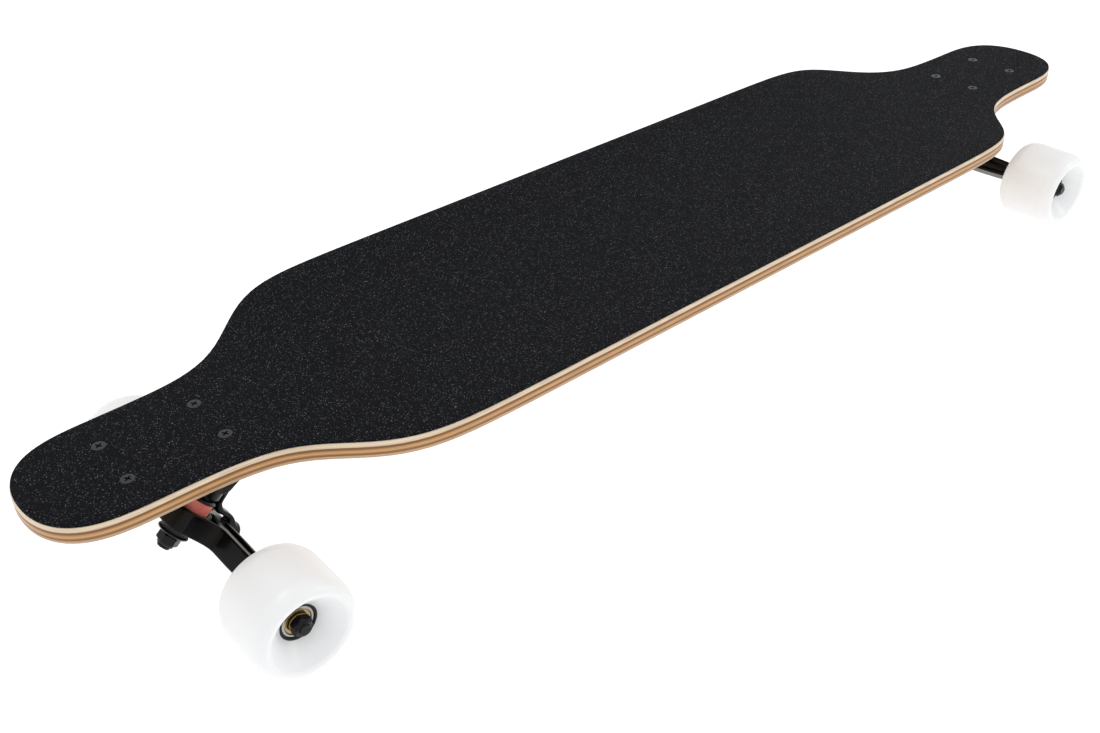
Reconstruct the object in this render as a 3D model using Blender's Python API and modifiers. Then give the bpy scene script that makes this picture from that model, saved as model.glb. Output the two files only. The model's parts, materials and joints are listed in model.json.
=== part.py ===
"""A 41 inch top-mount longboard: eight-ply deck with grip tape, two reverse-kingpin trucks and four wheels.

The frame: metres, +Z up, +X towards the front tip, +Y to the rider's left, origin on the ground
under the middle of the deck. Each truck is modelled once in a truck frame, whose +X points outboard
(towards the nearer tip) with its origin on the ground under the middle of the bolt pattern.
"""

import math

import bmesh
import bpy
from mathutils import Matrix, Vector

MM = 0.001

# Deck
DECK_LENGTH = 1044 * MM
PLATFORM_HALF_WIDTH = 118.5 * MM
NECK_HALF_WIDTH = 50.2 * MM
FLARE_CENTRE = 345.5 * MM  # distance from the middle at which the outline is halfway from platform to neck
FLARE_LENGTH = 36 * MM
TIP_START = 450 * MM  # from here the neck rounds off into the tip
TIP_FULLNESS = 3.5
TIP_BLUNTNESS = 2.2
TIP_STEPS = 8
PLIES = 8
PLY = 1.52 * MM
DECK_THICKNESS = PLIES * PLY
CONCAVE_DEPTH = 8.4 * MM  # height of the platform's rails above its centre line
CONCAVE_CENTRE = 341 * MM
CONCAVE_FADE = 34 * MM
FLAT_FROM = 392 * MM  # the truck beds beyond this are flat
GRIP = 0.9 * MM
GRIP_INSET = 0.8 * MM
RAIL_BEVEL = 1.6 * MM

# Ride height and wheels
WHEEL_RADIUS = 35 * MM
WHEEL_WIDTH = 54 * MM
WHEEL_TRACK = 102.7 * MM  # middle of the board to the middle of a wheel
RIDE_HEIGHT = 113.5 * MM  # ground to the top of the grip tape over the trucks
GAP = 0.3 * MM

# Truck
TRUCK_SPACING = 863.7 * MM  # between the middles of the two bolt patterns
BOLT_SPACING_X = 63.5 * MM
BOLT_SPACING_Y = 41.3 * MM
HANGER_HALF = 88.9 * MM
AXLE_RADIUS = 4 * MM
AXLE_X = -14.3 * MM
AXLE_HALF = 124 * MM
PIVOT_ANGLE = math.radians(50)  # of the steering axis above the deck plane
RING_CENTRE = Vector((-1.4 * MM, 0, 50.8 * MM))  # where the kingpin and the steering axis cross
PIVOT_REACH = 38.5 * MM  # from there to the tip of the pivot nose
KINGPIN_RADIUS = 4.75 * MM
BUSHING_RADIUS = 12 * MM
BUSHING_BORE = 5.1 * MM
BOARDSIDE_BUSHING = 12.5 * MM
ROADSIDE_BUSHING = 9.5 * MM
RING_RADIUS = 15.5 * MM
SEAT_HALF = 3 * MM  # half the web between the two bushing seats
CUP_WASHER = 1.8 * MM
KINGPIN_NUT = 7.2 * MM
ARM_HALF = 7.8 * MM  # half the hanger casting, measured along the kingpin
BARREL_RADIUS = 6.8 * MM
PLATE = 6.5 * MM
BOSS_RADIUS = 12.5 * MM

# Hardware
BOLT_RADIUS = 2.4 * MM
BOLT_HEAD_RADIUS = 4.7 * MM
BOLT_HEAD_HEIGHT = 2.6 * MM
LOCK_NUT = 5 * MM
BEARING_RADIUS = 11 * MM
BEARING_WIDTH = 7 * MM
INNER_RACE_RADIUS = 6 * MM
SPACER = 10 * MM
SPEED_RING = 1.4 * MM
AXLE_NUT = 6.5 * MM

DECK_TOP = RIDE_HEIGHT - GRIP - GAP
DECK_BOTTOM = DECK_TOP - DECK_THICKNESS
PLATE_TOP = DECK_BOTTOM - GAP
PLATE_BOTTOM = PLATE_TOP - PLATE
BEARING_INNER_FACE = HANGER_HALF + SPEED_RING + GAP
BEARING_OUTER_FACE = BEARING_INNER_FACE + 2 * BEARING_WIDTH + SPACER

MATERIALS = {
    "maple_plies": ((0.72, 0.48, 0.27), 0.45, 0.0),
    "grip_tape": ((0.012, 0.012, 0.014), 0.95, 0.0),
    "black_casting": ((0.012, 0.012, 0.013), 0.35, 0.2),
    "black_steel": ((0.02, 0.02, 0.021), 0.35, 0.8),
    "zinc_steel": ((0.62, 0.56, 0.42), 0.3, 1.0),
    "bearing_steel": ((0.55, 0.55, 0.56), 0.25, 1.0),
    "pink_urethane": ((0.52, 0.09, 0.09), 0.45, 0.0),
    "black_urethane": ((0.02, 0.02, 0.02), 0.5, 0.0),
    "white_urethane": ((0.86, 0.87, 0.88), 0.35, 0.0),
}

for old in list(bpy.data.objects):
    bpy.data.objects.remove(old)

board = bpy.data.collections.new("longboard")
helpers = bpy.data.collections.new("cutters")
bpy.context.scene.collection.children.link(board)
bpy.context.scene.collection.children.link(helpers)


def make_material(name, colour, roughness, metallic):
    material = bpy.data.materials.new(name)
    material.use_nodes = True
    shader = material.node_tree.nodes["Principled BSDF"]
    shader.inputs["Base Color"].default_value = (*colour, 1)
    shader.inputs["Roughness"].default_value = roughness
    shader.inputs["Metallic"].default_value = metallic
    return material


materials = {name: make_material(name, *look) for name, look in MATERIALS.items()}


# ---------------------------------------------------------------- shape helpers


def helper(mesh, place=Matrix.Identity(4)):
    """A cutter or an addend, which a Boolean reads and no node comes from."""
    obj = bpy.data.objects.new("helper", mesh)
    obj.hide_render = True
    obj.display_type = "WIRE"
    obj.matrix_world = place
    helpers.objects.link(obj)
    return obj


def mesh_from(build):
    """A mesh that build(bm) fills, with its faces turned outwards."""
    bm = bmesh.new()
    build(bm)
    bmesh.ops.recalc_face_normals(bm, faces=bm.faces)
    mesh = bpy.data.meshes.new("shape")
    bm.to_mesh(mesh)
    bm.free()
    return mesh


def cylinder(radius, low, high, sides=24, top_radius=None, place=Matrix.Identity(4)):
    """A cylinder or cone along local Z from low to high."""

    def build(bm):
        bmesh.ops.create_cone(
            bm,
            cap_ends=True,
            segments=sides,
            radius1=radius,
            radius2=radius if top_radius is None else top_radius,
            depth=high - low,
            matrix=Matrix.Translation((0, 0, (low + high) / 2)),
        )

    return helper(mesh_from(build), place)


def box(low, high, place=Matrix.Identity(4), corner=0.0):
    """A box between two corners, with its upright edges rounded by corner."""

    def build(bm):
        size = Vector(high) - Vector(low)
        middle = (Vector(high) + Vector(low)) / 2
        bmesh.ops.create_cube(bm, size=1, matrix=Matrix.Translation(middle) @ Matrix.Diagonal((*size, 1)))
        if corner:
            upright = [e for e in bm.edges if abs((e.verts[0].co - e.verts[1].co).z) > size.z / 2]
            bmesh.ops.bevel(bm, geom=upright, offset=corner, segments=3, affect="EDGES", profile=0.5)

    return helper(mesh_from(build), place)


def turned(profile, steps=24, closed=False, place=Matrix.Identity(4)):
    """A solid of revolution about local Z. The profile's (radius, z) points run down its outer side."""
    mesh = bpy.data.meshes.new("profile")
    count = len(profile)
    edges = [(i, (i + 1) % count) for i in range(count if closed else count - 1)]
    mesh.from_pydata([(r, 0, z) for r, z in profile], edges, [])
    obj = helper(mesh, place)
    screw = obj.modifiers.new("turn", "SCREW")
    screw.steps = screw.render_steps = steps
    screw.use_merge_vertices = True
    screw.merge_threshold = 1e-6
    return obj


def slab(outlines, thickness, place=Matrix.Identity(4)):
    """A flat plate in local XY. The first outline is its edge, and any others are windows in it."""
    curve = bpy.data.curves.new("outline", "CURVE")
    curve.dimensions = "2D"
    curve.fill_mode = "BOTH"
    curve.extrude = thickness / 2
    for points in outlines:
        spline = curve.splines.new("POLY")
        spline.points.add(len(points) - 1)
        for point, (x, y) in zip(spline.points, points):
            point.co = (x, y, 0, 1)
        spline.use_cyclic_u = True
    drawn = bpy.data.objects.new("outline", curve)
    helpers.objects.link(drawn)
    mesh = evaluated_mesh(drawn)
    bpy.data.objects.remove(drawn)
    return helper(mesh, place)


def evaluated_mesh(obj):
    """The object's mesh with its modifiers applied and its seams closed, in the object's own frame."""
    bpy.context.view_layer.update()
    graph = bpy.context.evaluated_depsgraph_get()
    mesh = bpy.data.meshes.new_from_object(obj.evaluated_get(graph))
    bm = bmesh.new()
    bm.from_mesh(mesh)
    bmesh.ops.remove_doubles(bm, verts=bm.verts, dist=1e-6)
    bmesh.ops.recalc_face_normals(bm, faces=bm.faces)
    bm.to_mesh(mesh)
    bm.free()
    return mesh


def combine(base, add=(), cut=()):
    """The base solid with solids added and then cut, as one mesh in the frame that its helpers share."""
    for operation, tools in (("UNION", add), ("DIFFERENCE", cut)):
        for tool in tools:
            if any(m.type == "SCREW" for m in tool.modifiers):
                tool.data = evaluated_mesh(tool)
                tool.modifiers.clear()
            modifier = base.modifiers.new(operation.lower(), "BOOLEAN")
            modifier.operation = operation
            modifier.object = tool
    mesh = evaluated_mesh(base)
    mesh.transform(base.matrix_world)
    for used in (base, *add, *cut):
        bpy.data.objects.remove(used)
    return mesh


def joined(base, add=(), cut=()):
    """The same as combine, but as a helper for another Boolean."""
    return helper(combine(base, add, cut))


def piece(name, mesh, material, parent=None, place=Matrix.Identity(4)):
    """A node of the object, under an empty, with its own place in that empty's frame."""
    if not mesh.materials:
        mesh.materials.append(materials[material])
    mesh.shade_smooth()
    mesh.set_sharp_from_angle(angle=math.radians(35))
    obj = bpy.data.objects.new(name, mesh)
    obj.parent = parent
    obj.matrix_local = place
    board.objects.link(obj)
    return obj


def empty(name, place, parent=None):
    obj = bpy.data.objects.new(name, None)
    obj.empty_display_size = 0.03
    obj.parent = parent
    obj.matrix_local = place
    board.objects.link(obj)
    return obj


# ---------------------------------------------------------------- deck and grip tape


def half_width(x, inset=0.0):
    """Half the deck's width at a distance x from its middle."""
    x = abs(x)
    middle = (PLATFORM_HALF_WIDTH + NECK_HALF_WIDTH) / 2
    swing = (PLATFORM_HALF_WIDTH - NECK_HALF_WIDTH) / 2
    width = middle + swing * math.tanh((FLARE_CENTRE - x) / FLARE_LENGTH) - inset
    tip = (x - TIP_START) / (DECK_LENGTH / 2 - inset - TIP_START)
    if tip > 0:
        width *= max(0.0, 1 - min(tip, 1.0) ** TIP_FULLNESS) ** (1 / TIP_BLUNTNESS)
    return width


def concave(x, y):
    """How far the pressed platform rises above the flat truck beds at (x, y)."""
    if abs(x) >= FLAT_FROM:
        return 0.0
    fade = 0.5 + 0.5 * math.tanh((CONCAVE_CENTRE - abs(x)) / CONCAVE_FADE)
    return CONCAVE_DEPTH * fade * (y / PLATFORM_HALF_WIDTH) ** 2


def stations(inset):
    """Distances along the deck: wide apart on the straight platform, close in the flares and tips."""
    end = DECK_LENGTH / 2 - inset
    runs = ((0.0, 260 * MM, 5), (260 * MM, 430 * MM, 11), (430 * MM, TIP_START, 1))
    half = [low + (high - low) * i / count for low, high, count in runs for i in range(count)]
    turns = [math.pi / 2 * i / TIP_STEPS for i in range(TIP_STEPS + 1)]
    half += [TIP_START + (end - TIP_START) * math.sin(turn) for turn in turns]
    return [-x for x in reversed(half[1:])] + half


def pressed_sheet(inset, thickness, top, columns=7):
    """A sheet with the deck's outline and concave, of the given thickness below the height top."""
    places = stations(inset)
    rows = len(places) - 1

    def build(bm):
        bmesh.ops.create_grid(bm, x_segments=rows, y_segments=columns, size=1)
        for vertex in bm.verts:
            x = places[round((vertex.co.x + 1) / 2 * rows)]
            y = vertex.co.y * half_width(x, inset)
            vertex.co = (x, y, top + concave(x, y))
        bmesh.ops.remove_doubles(bm, verts=bm.verts, dist=1e-6)
        skin = bmesh.ops.extrude_face_region(bm, geom=bm.faces[:])
        lowered = [v for v in skin["geom"] if isinstance(v, bmesh.types.BMVert)]
        bmesh.ops.translate(bm, verts=lowered, vec=(0, 0, -thickness))

    return helper(mesh_from(build))


def bolt_places():
    """The eight deck bolts: (truck, number, x, y) in the board's frame."""
    for truck, side in (("front", 1), ("rear", -1)):
        corners = [(sx, sy) for sx in (1, -1) for sy in (1, -1)]
        for number, (sx, sy) in enumerate(corners, 1):
            x = side * TRUCK_SPACING / 2 + sx * BOLT_SPACING_X / 2
            yield truck, number, x, sy * BOLT_SPACING_Y / 2


def bolt_cutters():
    """Countersunk clearance holes for the deck bolts."""
    shank = BOLT_RADIUS + GAP
    depth = BOLT_HEAD_HEIGHT + GAP
    slope = (BOLT_HEAD_RADIUS - BOLT_RADIUS) / depth
    low, high = RIDE_HEIGHT - depth, RIDE_HEIGHT + GRIP
    cutters = []
    for _, _, x, y in bolt_places():
        place = Matrix.Translation((x, y, 0))
        countersink = cylinder(shank, low, high, 10, shank + slope * (high - low), place)
        through = cylinder(shank, DECK_BOTTOM - 5 * MM, high + 5 * MM, 10, place=place)
        cutters.append(joined(through, [countersink]))
    return cutters


def make_deck():
    blank = pressed_sheet(0.0, DECK_THICKNESS, DECK_TOP)
    bevel = blank.modifiers.new("rails", "BEVEL")
    bevel.width = RAIL_BEVEL
    bevel.segments = 1
    bevel.limit_method = "ANGLE"
    bevel.angle_limit = math.radians(60)
    piece("deck", combine(blank, cut=bolt_cutters()), "maple_plies")


def make_grip():
    sheet = pressed_sheet(GRIP_INSET, GRIP, RIDE_HEIGHT)
    piece("grip_tape", combine(sheet, cut=bolt_cutters()), "grip_tape")


# ---------------------------------------------------------------- truck frames


def truck_frame(side):
    """From the truck frame to the board's: side is 1 at the front and -1 at the rear."""
    turn = Matrix.Rotation(0 if side > 0 else math.pi, 4, "Z")
    return Matrix.Translation((side * TRUCK_SPACING / 2, 0, 0)) @ turn


# From the kingpin frame to the truck frame. Its origin is the ring's centre, +Z runs up the kingpin
# to the baseplate, and +X is the steering axis, pointing up and outboard. The pivot lies along -X.
KINGPIN_FRAME = Matrix.Translation(RING_CENTRE) @ Matrix.Rotation(-PIVOT_ANGLE, 4, "Y")
ALONG_AXIS = Matrix.Rotation(math.pi / 2, 4, "Y")  # turns local Z onto +X
ALONG_AXLE = Matrix.Rotation(-math.pi / 2, 4, "X")  # turns local Z onto +Y

AXLE_IN_RING = KINGPIN_FRAME.inverted() @ Vector((AXLE_X, 0, WHEEL_RADIUS))

WASHER_TOP = SEAT_HALF + GAP + BOARDSIDE_BUSHING + GAP  # underside of the boardside washer
BOSS_FACE = WASHER_TOP + CUP_WASHER + GAP
WASHER_BOTTOM = -(SEAT_HALF + GAP + ROADSIDE_BUSHING + GAP)
NUT_FACE = WASHER_BOTTOM - CUP_WASHER - GAP
KINGPIN_END = NUT_FACE - KINGPIN_NUT - 2 * MM
HEAD_SEAT = 43.2 * MM
HEAD_HEIGHT = 5.5 * MM
CUP_OPENING = -(PIVOT_REACH - 7.5 * MM)
CUP_BORE = 6.4 * MM
CUP_DEPTH = 9.8 * MM
NOSE_RADIUS = 4.3 * MM


def make_baseplate():
    """The bed plate with the wedge that carries the kingpin, and the fin that holds the pivot cup."""
    upright = Matrix.Rotation(math.pi / 2, 4, "X")  # stands an (x, z) outline up, extruded along Y
    pivot = KINGPIN_FRAME @ ALONG_AXIS
    plate = box((-53 * MM, -28 * MM, PLATE_BOTTOM), (42 * MM, 28 * MM, PLATE_TOP), corner=9 * MM)
    boss = cylinder(BOSS_RADIUS, BOSS_FACE, HEAD_SEAT, 24, place=KINGPIN_FRAME)
    wedge_outline = [
        (-52 * MM, PLATE_BOTTOM + 2 * MM),
        (-45 * MM, 71 * MM),
        (-27 * MM, 60 * MM),
        (-16 * MM, 70 * MM),
        (16 * MM, PLATE_BOTTOM + 2 * MM),
    ]
    wedge = slab([wedge_outline], 24 * MM, upright)
    housing_end = CUP_OPENING - CUP_DEPTH - 2 * MM
    housing = cylinder(CUP_BORE + 2.5 * MM, housing_end, CUP_OPENING, 20, place=pivot)
    limb_outline = [
        (-8 * MM, 26 * MM),
        (-13.8 * MM, 22 * MM),
        (-14.2 * MM, 14 * MM),
        (-17 * MM, 10.2 * MM),
        (-30.4 * MM, 9.8 * MM),
        (-31.2 * MM, 4 * MM),
        (-40 * MM, 4 * MM),
        (-38 * MM, 8.6 * MM),
        (-31 * MM, 13.6 * MM),
        (-22 * MM, 15 * MM),
        (-18.5 * MM, 18 * MM),
        (-17 * MM, 36 * MM),
        (-8 * MM, 36 * MM),
    ]
    limb = slab([limb_outline], 13 * MM, KINGPIN_FRAME @ upright)
    bore = KINGPIN_RADIUS + GAP
    cutters = [
        box((-80 * MM, -40 * MM, PLATE_TOP), (60 * MM, 40 * MM, PLATE_TOP + 60 * MM)),
        cylinder(bore, BOSS_FACE - 5 * MM, HEAD_SEAT + 20 * MM, 16, place=KINGPIN_FRAME),
        cylinder(9.3 * MM, HEAD_SEAT, HEAD_SEAT + 40 * MM, 16, place=KINGPIN_FRAME),
        cylinder(CUP_BORE + GAP, CUP_OPENING - CUP_DEPTH, CUP_OPENING + 5 * MM, 20, place=pivot),
    ]
    low, high = PLATE_BOTTOM - 2 * MM, PLATE_TOP + 2 * MM
    for sx in (1, -1):
        for sy in (1, -1):
            hole = Matrix.Translation((sx * BOLT_SPACING_X / 2, sy * BOLT_SPACING_Y / 2, 0))
            cutters.append(cylinder(BOLT_RADIUS + GAP, low, high, 10, place=hole))
    return combine(plate, add=[boss, wedge, housing, limb], cut=cutters)


def make_pivot_cup():
    """A urethane cup that lines the fin's bore, in the kingpin frame."""
    wall = NOSE_RADIUS + GAP
    bottom = -(CUP_DEPTH - GAP)
    profile = [
        (wall, 0),
        (CUP_BORE, 0),
        (CUP_BORE, bottom),
        (0, bottom),
        (0, bottom + 1.3 * MM),
        (wall * 0.75, bottom + 2.2 * MM),
        (wall, bottom + 4.2 * MM),
    ]
    mouth = KINGPIN_FRAME @ Matrix.Translation((CUP_OPENING, 0, 0)) @ ALONG_AXIS
    return combine(turned(profile, 20, closed=True, place=mouth))


def make_kingpin():
    shank = cylinder(KINGPIN_RADIUS, KINGPIN_END, HEAD_SEAT + 1 * MM, 16, place=KINGPIN_FRAME)
    head = cylinder(8.2 * MM, HEAD_SEAT + GAP, HEAD_SEAT + GAP + HEAD_HEIGHT, 6, place=KINGPIN_FRAME)
    return combine(shank, add=[head])


def make_kingpin_nut():
    nut = cylinder(7.9 * MM, NUT_FACE - KINGPIN_NUT, NUT_FACE, 6, place=KINGPIN_FRAME)
    bore = cylinder(KINGPIN_RADIUS + GAP, NUT_FACE - 20 * MM, NUT_FACE + 5 * MM, 16, place=KINGPIN_FRAME)
    return combine(nut, cut=[bore])


def ring_mesh(outer, inner, low, high, chamfer=0.0, steps=20, place=KINGPIN_FRAME):
    """A tube section about local Z, with its outer rims chamfered."""
    profile = [(inner, high), (outer - chamfer, high)]
    if chamfer:
        profile += [(outer, high - chamfer), (outer, low + chamfer)]
    profile += [(outer - chamfer, low), (inner, low)]
    return combine(turned(profile, steps, closed=True, place=place))


def make_roadside_bushing():
    """The lower bushing is a cone that narrows towards the nut."""
    top = -(SEAT_HALF + GAP)
    bottom = top - ROADSIDE_BUSHING
    profile = [
        (BUSHING_BORE, top),
        (BUSHING_RADIUS, top),
        (BUSHING_RADIUS, top - 3.5 * MM),
        (BUSHING_RADIUS - 2.5 * MM, bottom),
        (BUSHING_BORE, bottom),
    ]
    return combine(turned(profile, 20, closed=True, place=KINGPIN_FRAME))


def arm_outline(side):
    """The hanger's plan on one side: the block round the ring narrows into the beam round the axle."""
    return [
        (15 * MM, 0),
        (14 * MM, side * 10 * MM),
        (9 * MM, side * 16 * MM),
        (-2 * MM, side * 17.5 * MM),
        (-12.4 * MM, side * 23 * MM),
        (-13 * MM, side * 50 * MM),
        (-14.5 * MM, side * 84 * MM),
        (-26.3 * MM, side * 84 * MM),
        (-28.5 * MM, side * 60 * MM),
        (-30 * MM, side * 26 * MM),
        (-28.5 * MM, side * 9 * MM),
        (-28.5 * MM, 0),
    ]


def arm_windows(side):
    """The two pockets in a beam's deck side, with a slanting rib between them."""
    return [
        [
            (-8 * MM, side * 3 * MM),
            (-2 * MM, side * 14.5 * MM),
            (-11.7 * MM, side * 19.8 * MM),
            (-18 * MM, side * 3 * MM),
        ],
        [
            (-21.8 * MM, side * 5 * MM),
            (-15.6 * MM, side * 24 * MM),
            (-16 * MM, side * 48 * MM),
            (-17.5 * MM, side * 66 * MM),
            (-24.5 * MM, side * 66 * MM),
            (-26.8 * MM, side * 27 * MM),
            (-25.6 * MM, side * 9 * MM),
        ],
    ]


def make_hanger():
    """Ring, pivot nose and ribbed beam, cast as one piece round the axle."""
    axle_line = KINGPIN_FRAME @ Matrix.Translation(AXLE_IN_RING) @ ALONG_AXLE
    edge = arm_outline(1) + arm_outline(-1)[-2:0:-1]
    body = slab([edge], 2 * ARM_HALF, KINGPIN_FRAME)
    raised = KINGPIN_FRAME @ Matrix.Translation((0, 0, ARM_HALF))  # the pockets are half as deep as the beam
    pockets = [slab([window], 2 * ARM_HALF, raised) for side in (1, -1) for window in arm_windows(side)]
    nose_profile = [
        (0, -26 * MM),
        (8 * MM, -26 * MM),
        (6.2 * MM, CUP_OPENING + 2 * MM),
        (NOSE_RADIUS, CUP_OPENING + 0.8 * MM),
        (NOSE_RADIUS, -(PIVOT_REACH - 3 * MM)),
        (NOSE_RADIUS * 0.7, -(PIVOT_REACH - 1 * MM)),
        (0, -PIVOT_REACH),
    ]
    cast = [
        cylinder(RING_RADIUS, -ARM_HALF, ARM_HALF, 28, place=KINGPIN_FRAME),
        cylinder(BARREL_RADIUS, -HANGER_HALF, HANGER_HALF, 20, place=axle_line),
        turned(nose_profile, 20, place=KINGPIN_FRAME @ ALONG_AXIS),
    ]
    seat = BUSHING_RADIUS + 1.2 * MM
    cutters = [
        cylinder(seat, SEAT_HALF, ARM_HALF + 5 * MM, 24, place=KINGPIN_FRAME),
        cylinder(seat, -ARM_HALF - 5 * MM, -SEAT_HALF, 24, place=KINGPIN_FRAME),
        cylinder(8.5 * MM, -5 * MM, 5 * MM, 20, place=KINGPIN_FRAME),
        cylinder(AXLE_RADIUS + GAP, -HANGER_HALF - 5 * MM, HANGER_HALF + 5 * MM, 16, place=axle_line),
    ]
    return combine(joined(body, cut=pockets), add=cast, cut=cutters)


def make_axle():
    centre = Matrix.Translation((AXLE_X, 0, WHEEL_RADIUS)) @ ALONG_AXLE
    profile = [
        (0, AXLE_HALF),
        (AXLE_RADIUS - 0.8 * MM, AXLE_HALF),
        (AXLE_RADIUS, AXLE_HALF - 0.8 * MM),
        (AXLE_RADIUS, -AXLE_HALF + 0.8 * MM),
        (AXLE_RADIUS - 0.8 * MM, -AXLE_HALF),
        (0, -AXLE_HALF),
    ]
    return combine(turned(profile, 16, place=centre))


# ---------------------------------------------------------------- wheel parts, turned about local Z
# Their origin is the wheel's centre and their +Z points away from the board.

FACE_IN = BEARING_INNER_FACE - WHEEL_TRACK
FACE_OUT = BEARING_OUTER_FACE - WHEEL_TRACK
WHEEL_STEPS = 32


def make_wheel():
    """Urethane tyre cast round its core: a rounded tread, a dished lip each side, and two bearing seats."""
    half = WHEEL_WIDTH / 2
    seat = BEARING_RADIUS + GAP
    stop = 8.5 * MM
    outer_side = [
        (seat, FACE_OUT + 0.6 * MM),
        (12.8 * MM, FACE_OUT + 0.6 * MM),
        (26 * MM, half - 1 * MM),
        (29 * MM, half),
        (32.5 * MM, half - 2.5 * MM),
        (WHEEL_RADIUS, half - 9 * MM),
    ]
    inner_side = [
        (WHEEL_RADIUS, -half + 9 * MM),
        (32.5 * MM, -half + 2.5 * MM),
        (29 * MM, -half),
        (26 * MM, -half + 1 * MM),
        (12.8 * MM, FACE_IN - 0.6 * MM),
        (seat, FACE_IN - 0.6 * MM),
    ]
    bore = [
        (seat, FACE_IN + BEARING_WIDTH + GAP),
        (stop, FACE_IN + BEARING_WIDTH + GAP),
        (stop, FACE_OUT - BEARING_WIDTH - GAP),
        (seat, FACE_OUT - BEARING_WIDTH - GAP),
    ]
    return combine(turned(outer_side + inner_side + bore, WHEEL_STEPS, closed=True))


def make_bearing_ring(low):
    """A bearing's outer race with its shields, which turn with the wheel."""
    bore = INNER_RACE_RADIUS + GAP
    return ring_mesh(BEARING_RADIUS, bore, low, low + BEARING_WIDTH, 0.5 * MM, 20, Matrix.Identity(4))


def make_axle_sleeve():
    """The two inner races with the spacer between them, clamped on the axle by the nut."""
    bore = AXLE_RADIUS + GAP
    neck = 5.2 * MM
    profile = [
        (bore, FACE_OUT),
        (INNER_RACE_RADIUS, FACE_OUT),
        (INNER_RACE_RADIUS, FACE_OUT - BEARING_WIDTH),
        (neck, FACE_OUT - BEARING_WIDTH),
        (neck, FACE_IN + BEARING_WIDTH),
        (INNER_RACE_RADIUS, FACE_IN + BEARING_WIDTH),
        (INNER_RACE_RADIUS, FACE_IN),
        (bore, FACE_IN),
    ]
    return combine(turned(profile, 16, closed=True))


def make_axle_nut():
    face = FACE_OUT + SPEED_RING + GAP
    nut = cylinder(7.3 * MM, face, face + AXLE_NUT, 6)
    bore = cylinder(AXLE_RADIUS + GAP, face - 5 * MM, face + 20 * MM, 16)
    return combine(nut, cut=[bore])


# ---------------------------------------------------------------- deck hardware, in the board's frame


def make_bolt():
    """A countersunk deck bolt with a hexagonal socket, its head's face at z 0."""
    profile = [
        (0, 0),
        (BOLT_HEAD_RADIUS, 0),
        (BOLT_RADIUS, -BOLT_HEAD_HEIGHT),
        (BOLT_RADIUS, -29 * MM),
        (0, -29 * MM),
    ]
    socket = cylinder(1.9 * MM, -1.8 * MM, 1 * MM, 6)
    return combine(joined(turned(profile, 12)), cut=[socket])


def make_lock_nut():
    """A hexagonal lock nut, its upper face at z 0."""
    nut = cylinder(4.6 * MM, -LOCK_NUT, 0, 6)
    bore = cylinder(BOLT_RADIUS + GAP, -LOCK_NUT - 2 * MM, 2 * MM, 12)
    return combine(nut, cut=[bore])


# ---------------------------------------------------------------- assembly


def assemble_hardware():
    bolt, nut = make_bolt(), make_lock_nut()
    for truck, number, x, y in bolt_places():
        top = Matrix.Translation((x, y, RIDE_HEIGHT))
        piece(f"{truck}_deck_bolt_{number}", bolt, "black_steel", place=top)
        under = Matrix.Translation((x, y, PLATE_BOTTOM - GAP))
        piece(f"{truck}_lock_nut_{number}", nut, "black_steel", place=under)


def assemble_trucks():
    boardside_washer = ring_mesh(12.8 * MM, BUSHING_BORE, WASHER_TOP, WASHER_TOP + CUP_WASHER)
    roadside_washer = ring_mesh(11 * MM, BUSHING_BORE, WASHER_BOTTOM - CUP_WASHER, WASHER_BOTTOM)
    fixed = {
        "baseplate": (make_baseplate(), "black_casting"),
        "pivot_cup": (make_pivot_cup(), "black_urethane"),
        "kingpin": (make_kingpin(), "black_steel"),
        "kingpin_nut": (make_kingpin_nut(), "black_steel"),
        "boardside_washer": (boardside_washer, "black_steel"),
        "roadside_washer": (roadside_washer, "black_steel"),
        "boardside_bushing": (
            ring_mesh(BUSHING_RADIUS, BUSHING_BORE, SEAT_HALF + GAP, WASHER_TOP - GAP, 0.8 * MM),
            "pink_urethane",
        ),
        "roadside_bushing": (make_roadside_bushing(), "black_urethane"),
    }
    moving = {
        "hanger": (make_hanger(), "black_casting"),
        "axle": (make_axle(), "black_steel"),
    }
    wheel_set = {
        "wheel": (make_wheel(), "white_urethane"),
        "inboard_bearing": (make_bearing_ring(FACE_IN), "bearing_steel"),
        "outboard_bearing": (make_bearing_ring(FACE_OUT - BEARING_WIDTH), "bearing_steel"),
        "bearing_sleeve": (make_axle_sleeve(), "zinc_steel"),
        "axle_nut": (make_axle_nut(), "black_steel"),
    }
    for truck, side in (("front", 1), ("rear", -1)):
        base = empty(f"{truck}_truck", truck_frame(side))
        for name, (mesh, material) in fixed.items():
            piece(f"{truck}_{name}", mesh, material, base)
        steering = empty(f"{truck}_steering_axis", KINGPIN_FRAME, base)
        for name, (mesh, material) in moving.items():
            piece(f"{truck}_{name}", mesh, material, steering, KINGPIN_FRAME.inverted())
        for hand, y_side in (("left", side), ("right", -side)):
            centre = Matrix.Translation((AXLE_X, y_side * WHEEL_TRACK, WHEEL_RADIUS))
            outward = Matrix.Rotation(-y_side * math.pi / 2, 4, "X")
            hub = empty(f"{truck}_{hand}_hub", KINGPIN_FRAME.inverted() @ centre @ outward, steering)
            for name, (mesh, material) in wheel_set.items():
                piece(f"{truck}_{hand}_{name}", mesh, material, hub)


make_deck()
make_grip()
assemble_hardware()
assemble_trucks()
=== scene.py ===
# %% [markdown]
# # A longboard in cells
# A longboard is a plied wooden deck with grip tape on top, two cast trucks that steer as the rider
# leans, and four urethane wheels on ball bearings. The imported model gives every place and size, so
# this lesson starts by loading it, and each later cell makes one piece or one finish round it.

# %% Load the frame
import json
import math

import bmesh
import bpy
from mathutils import Matrix, Vector


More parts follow.
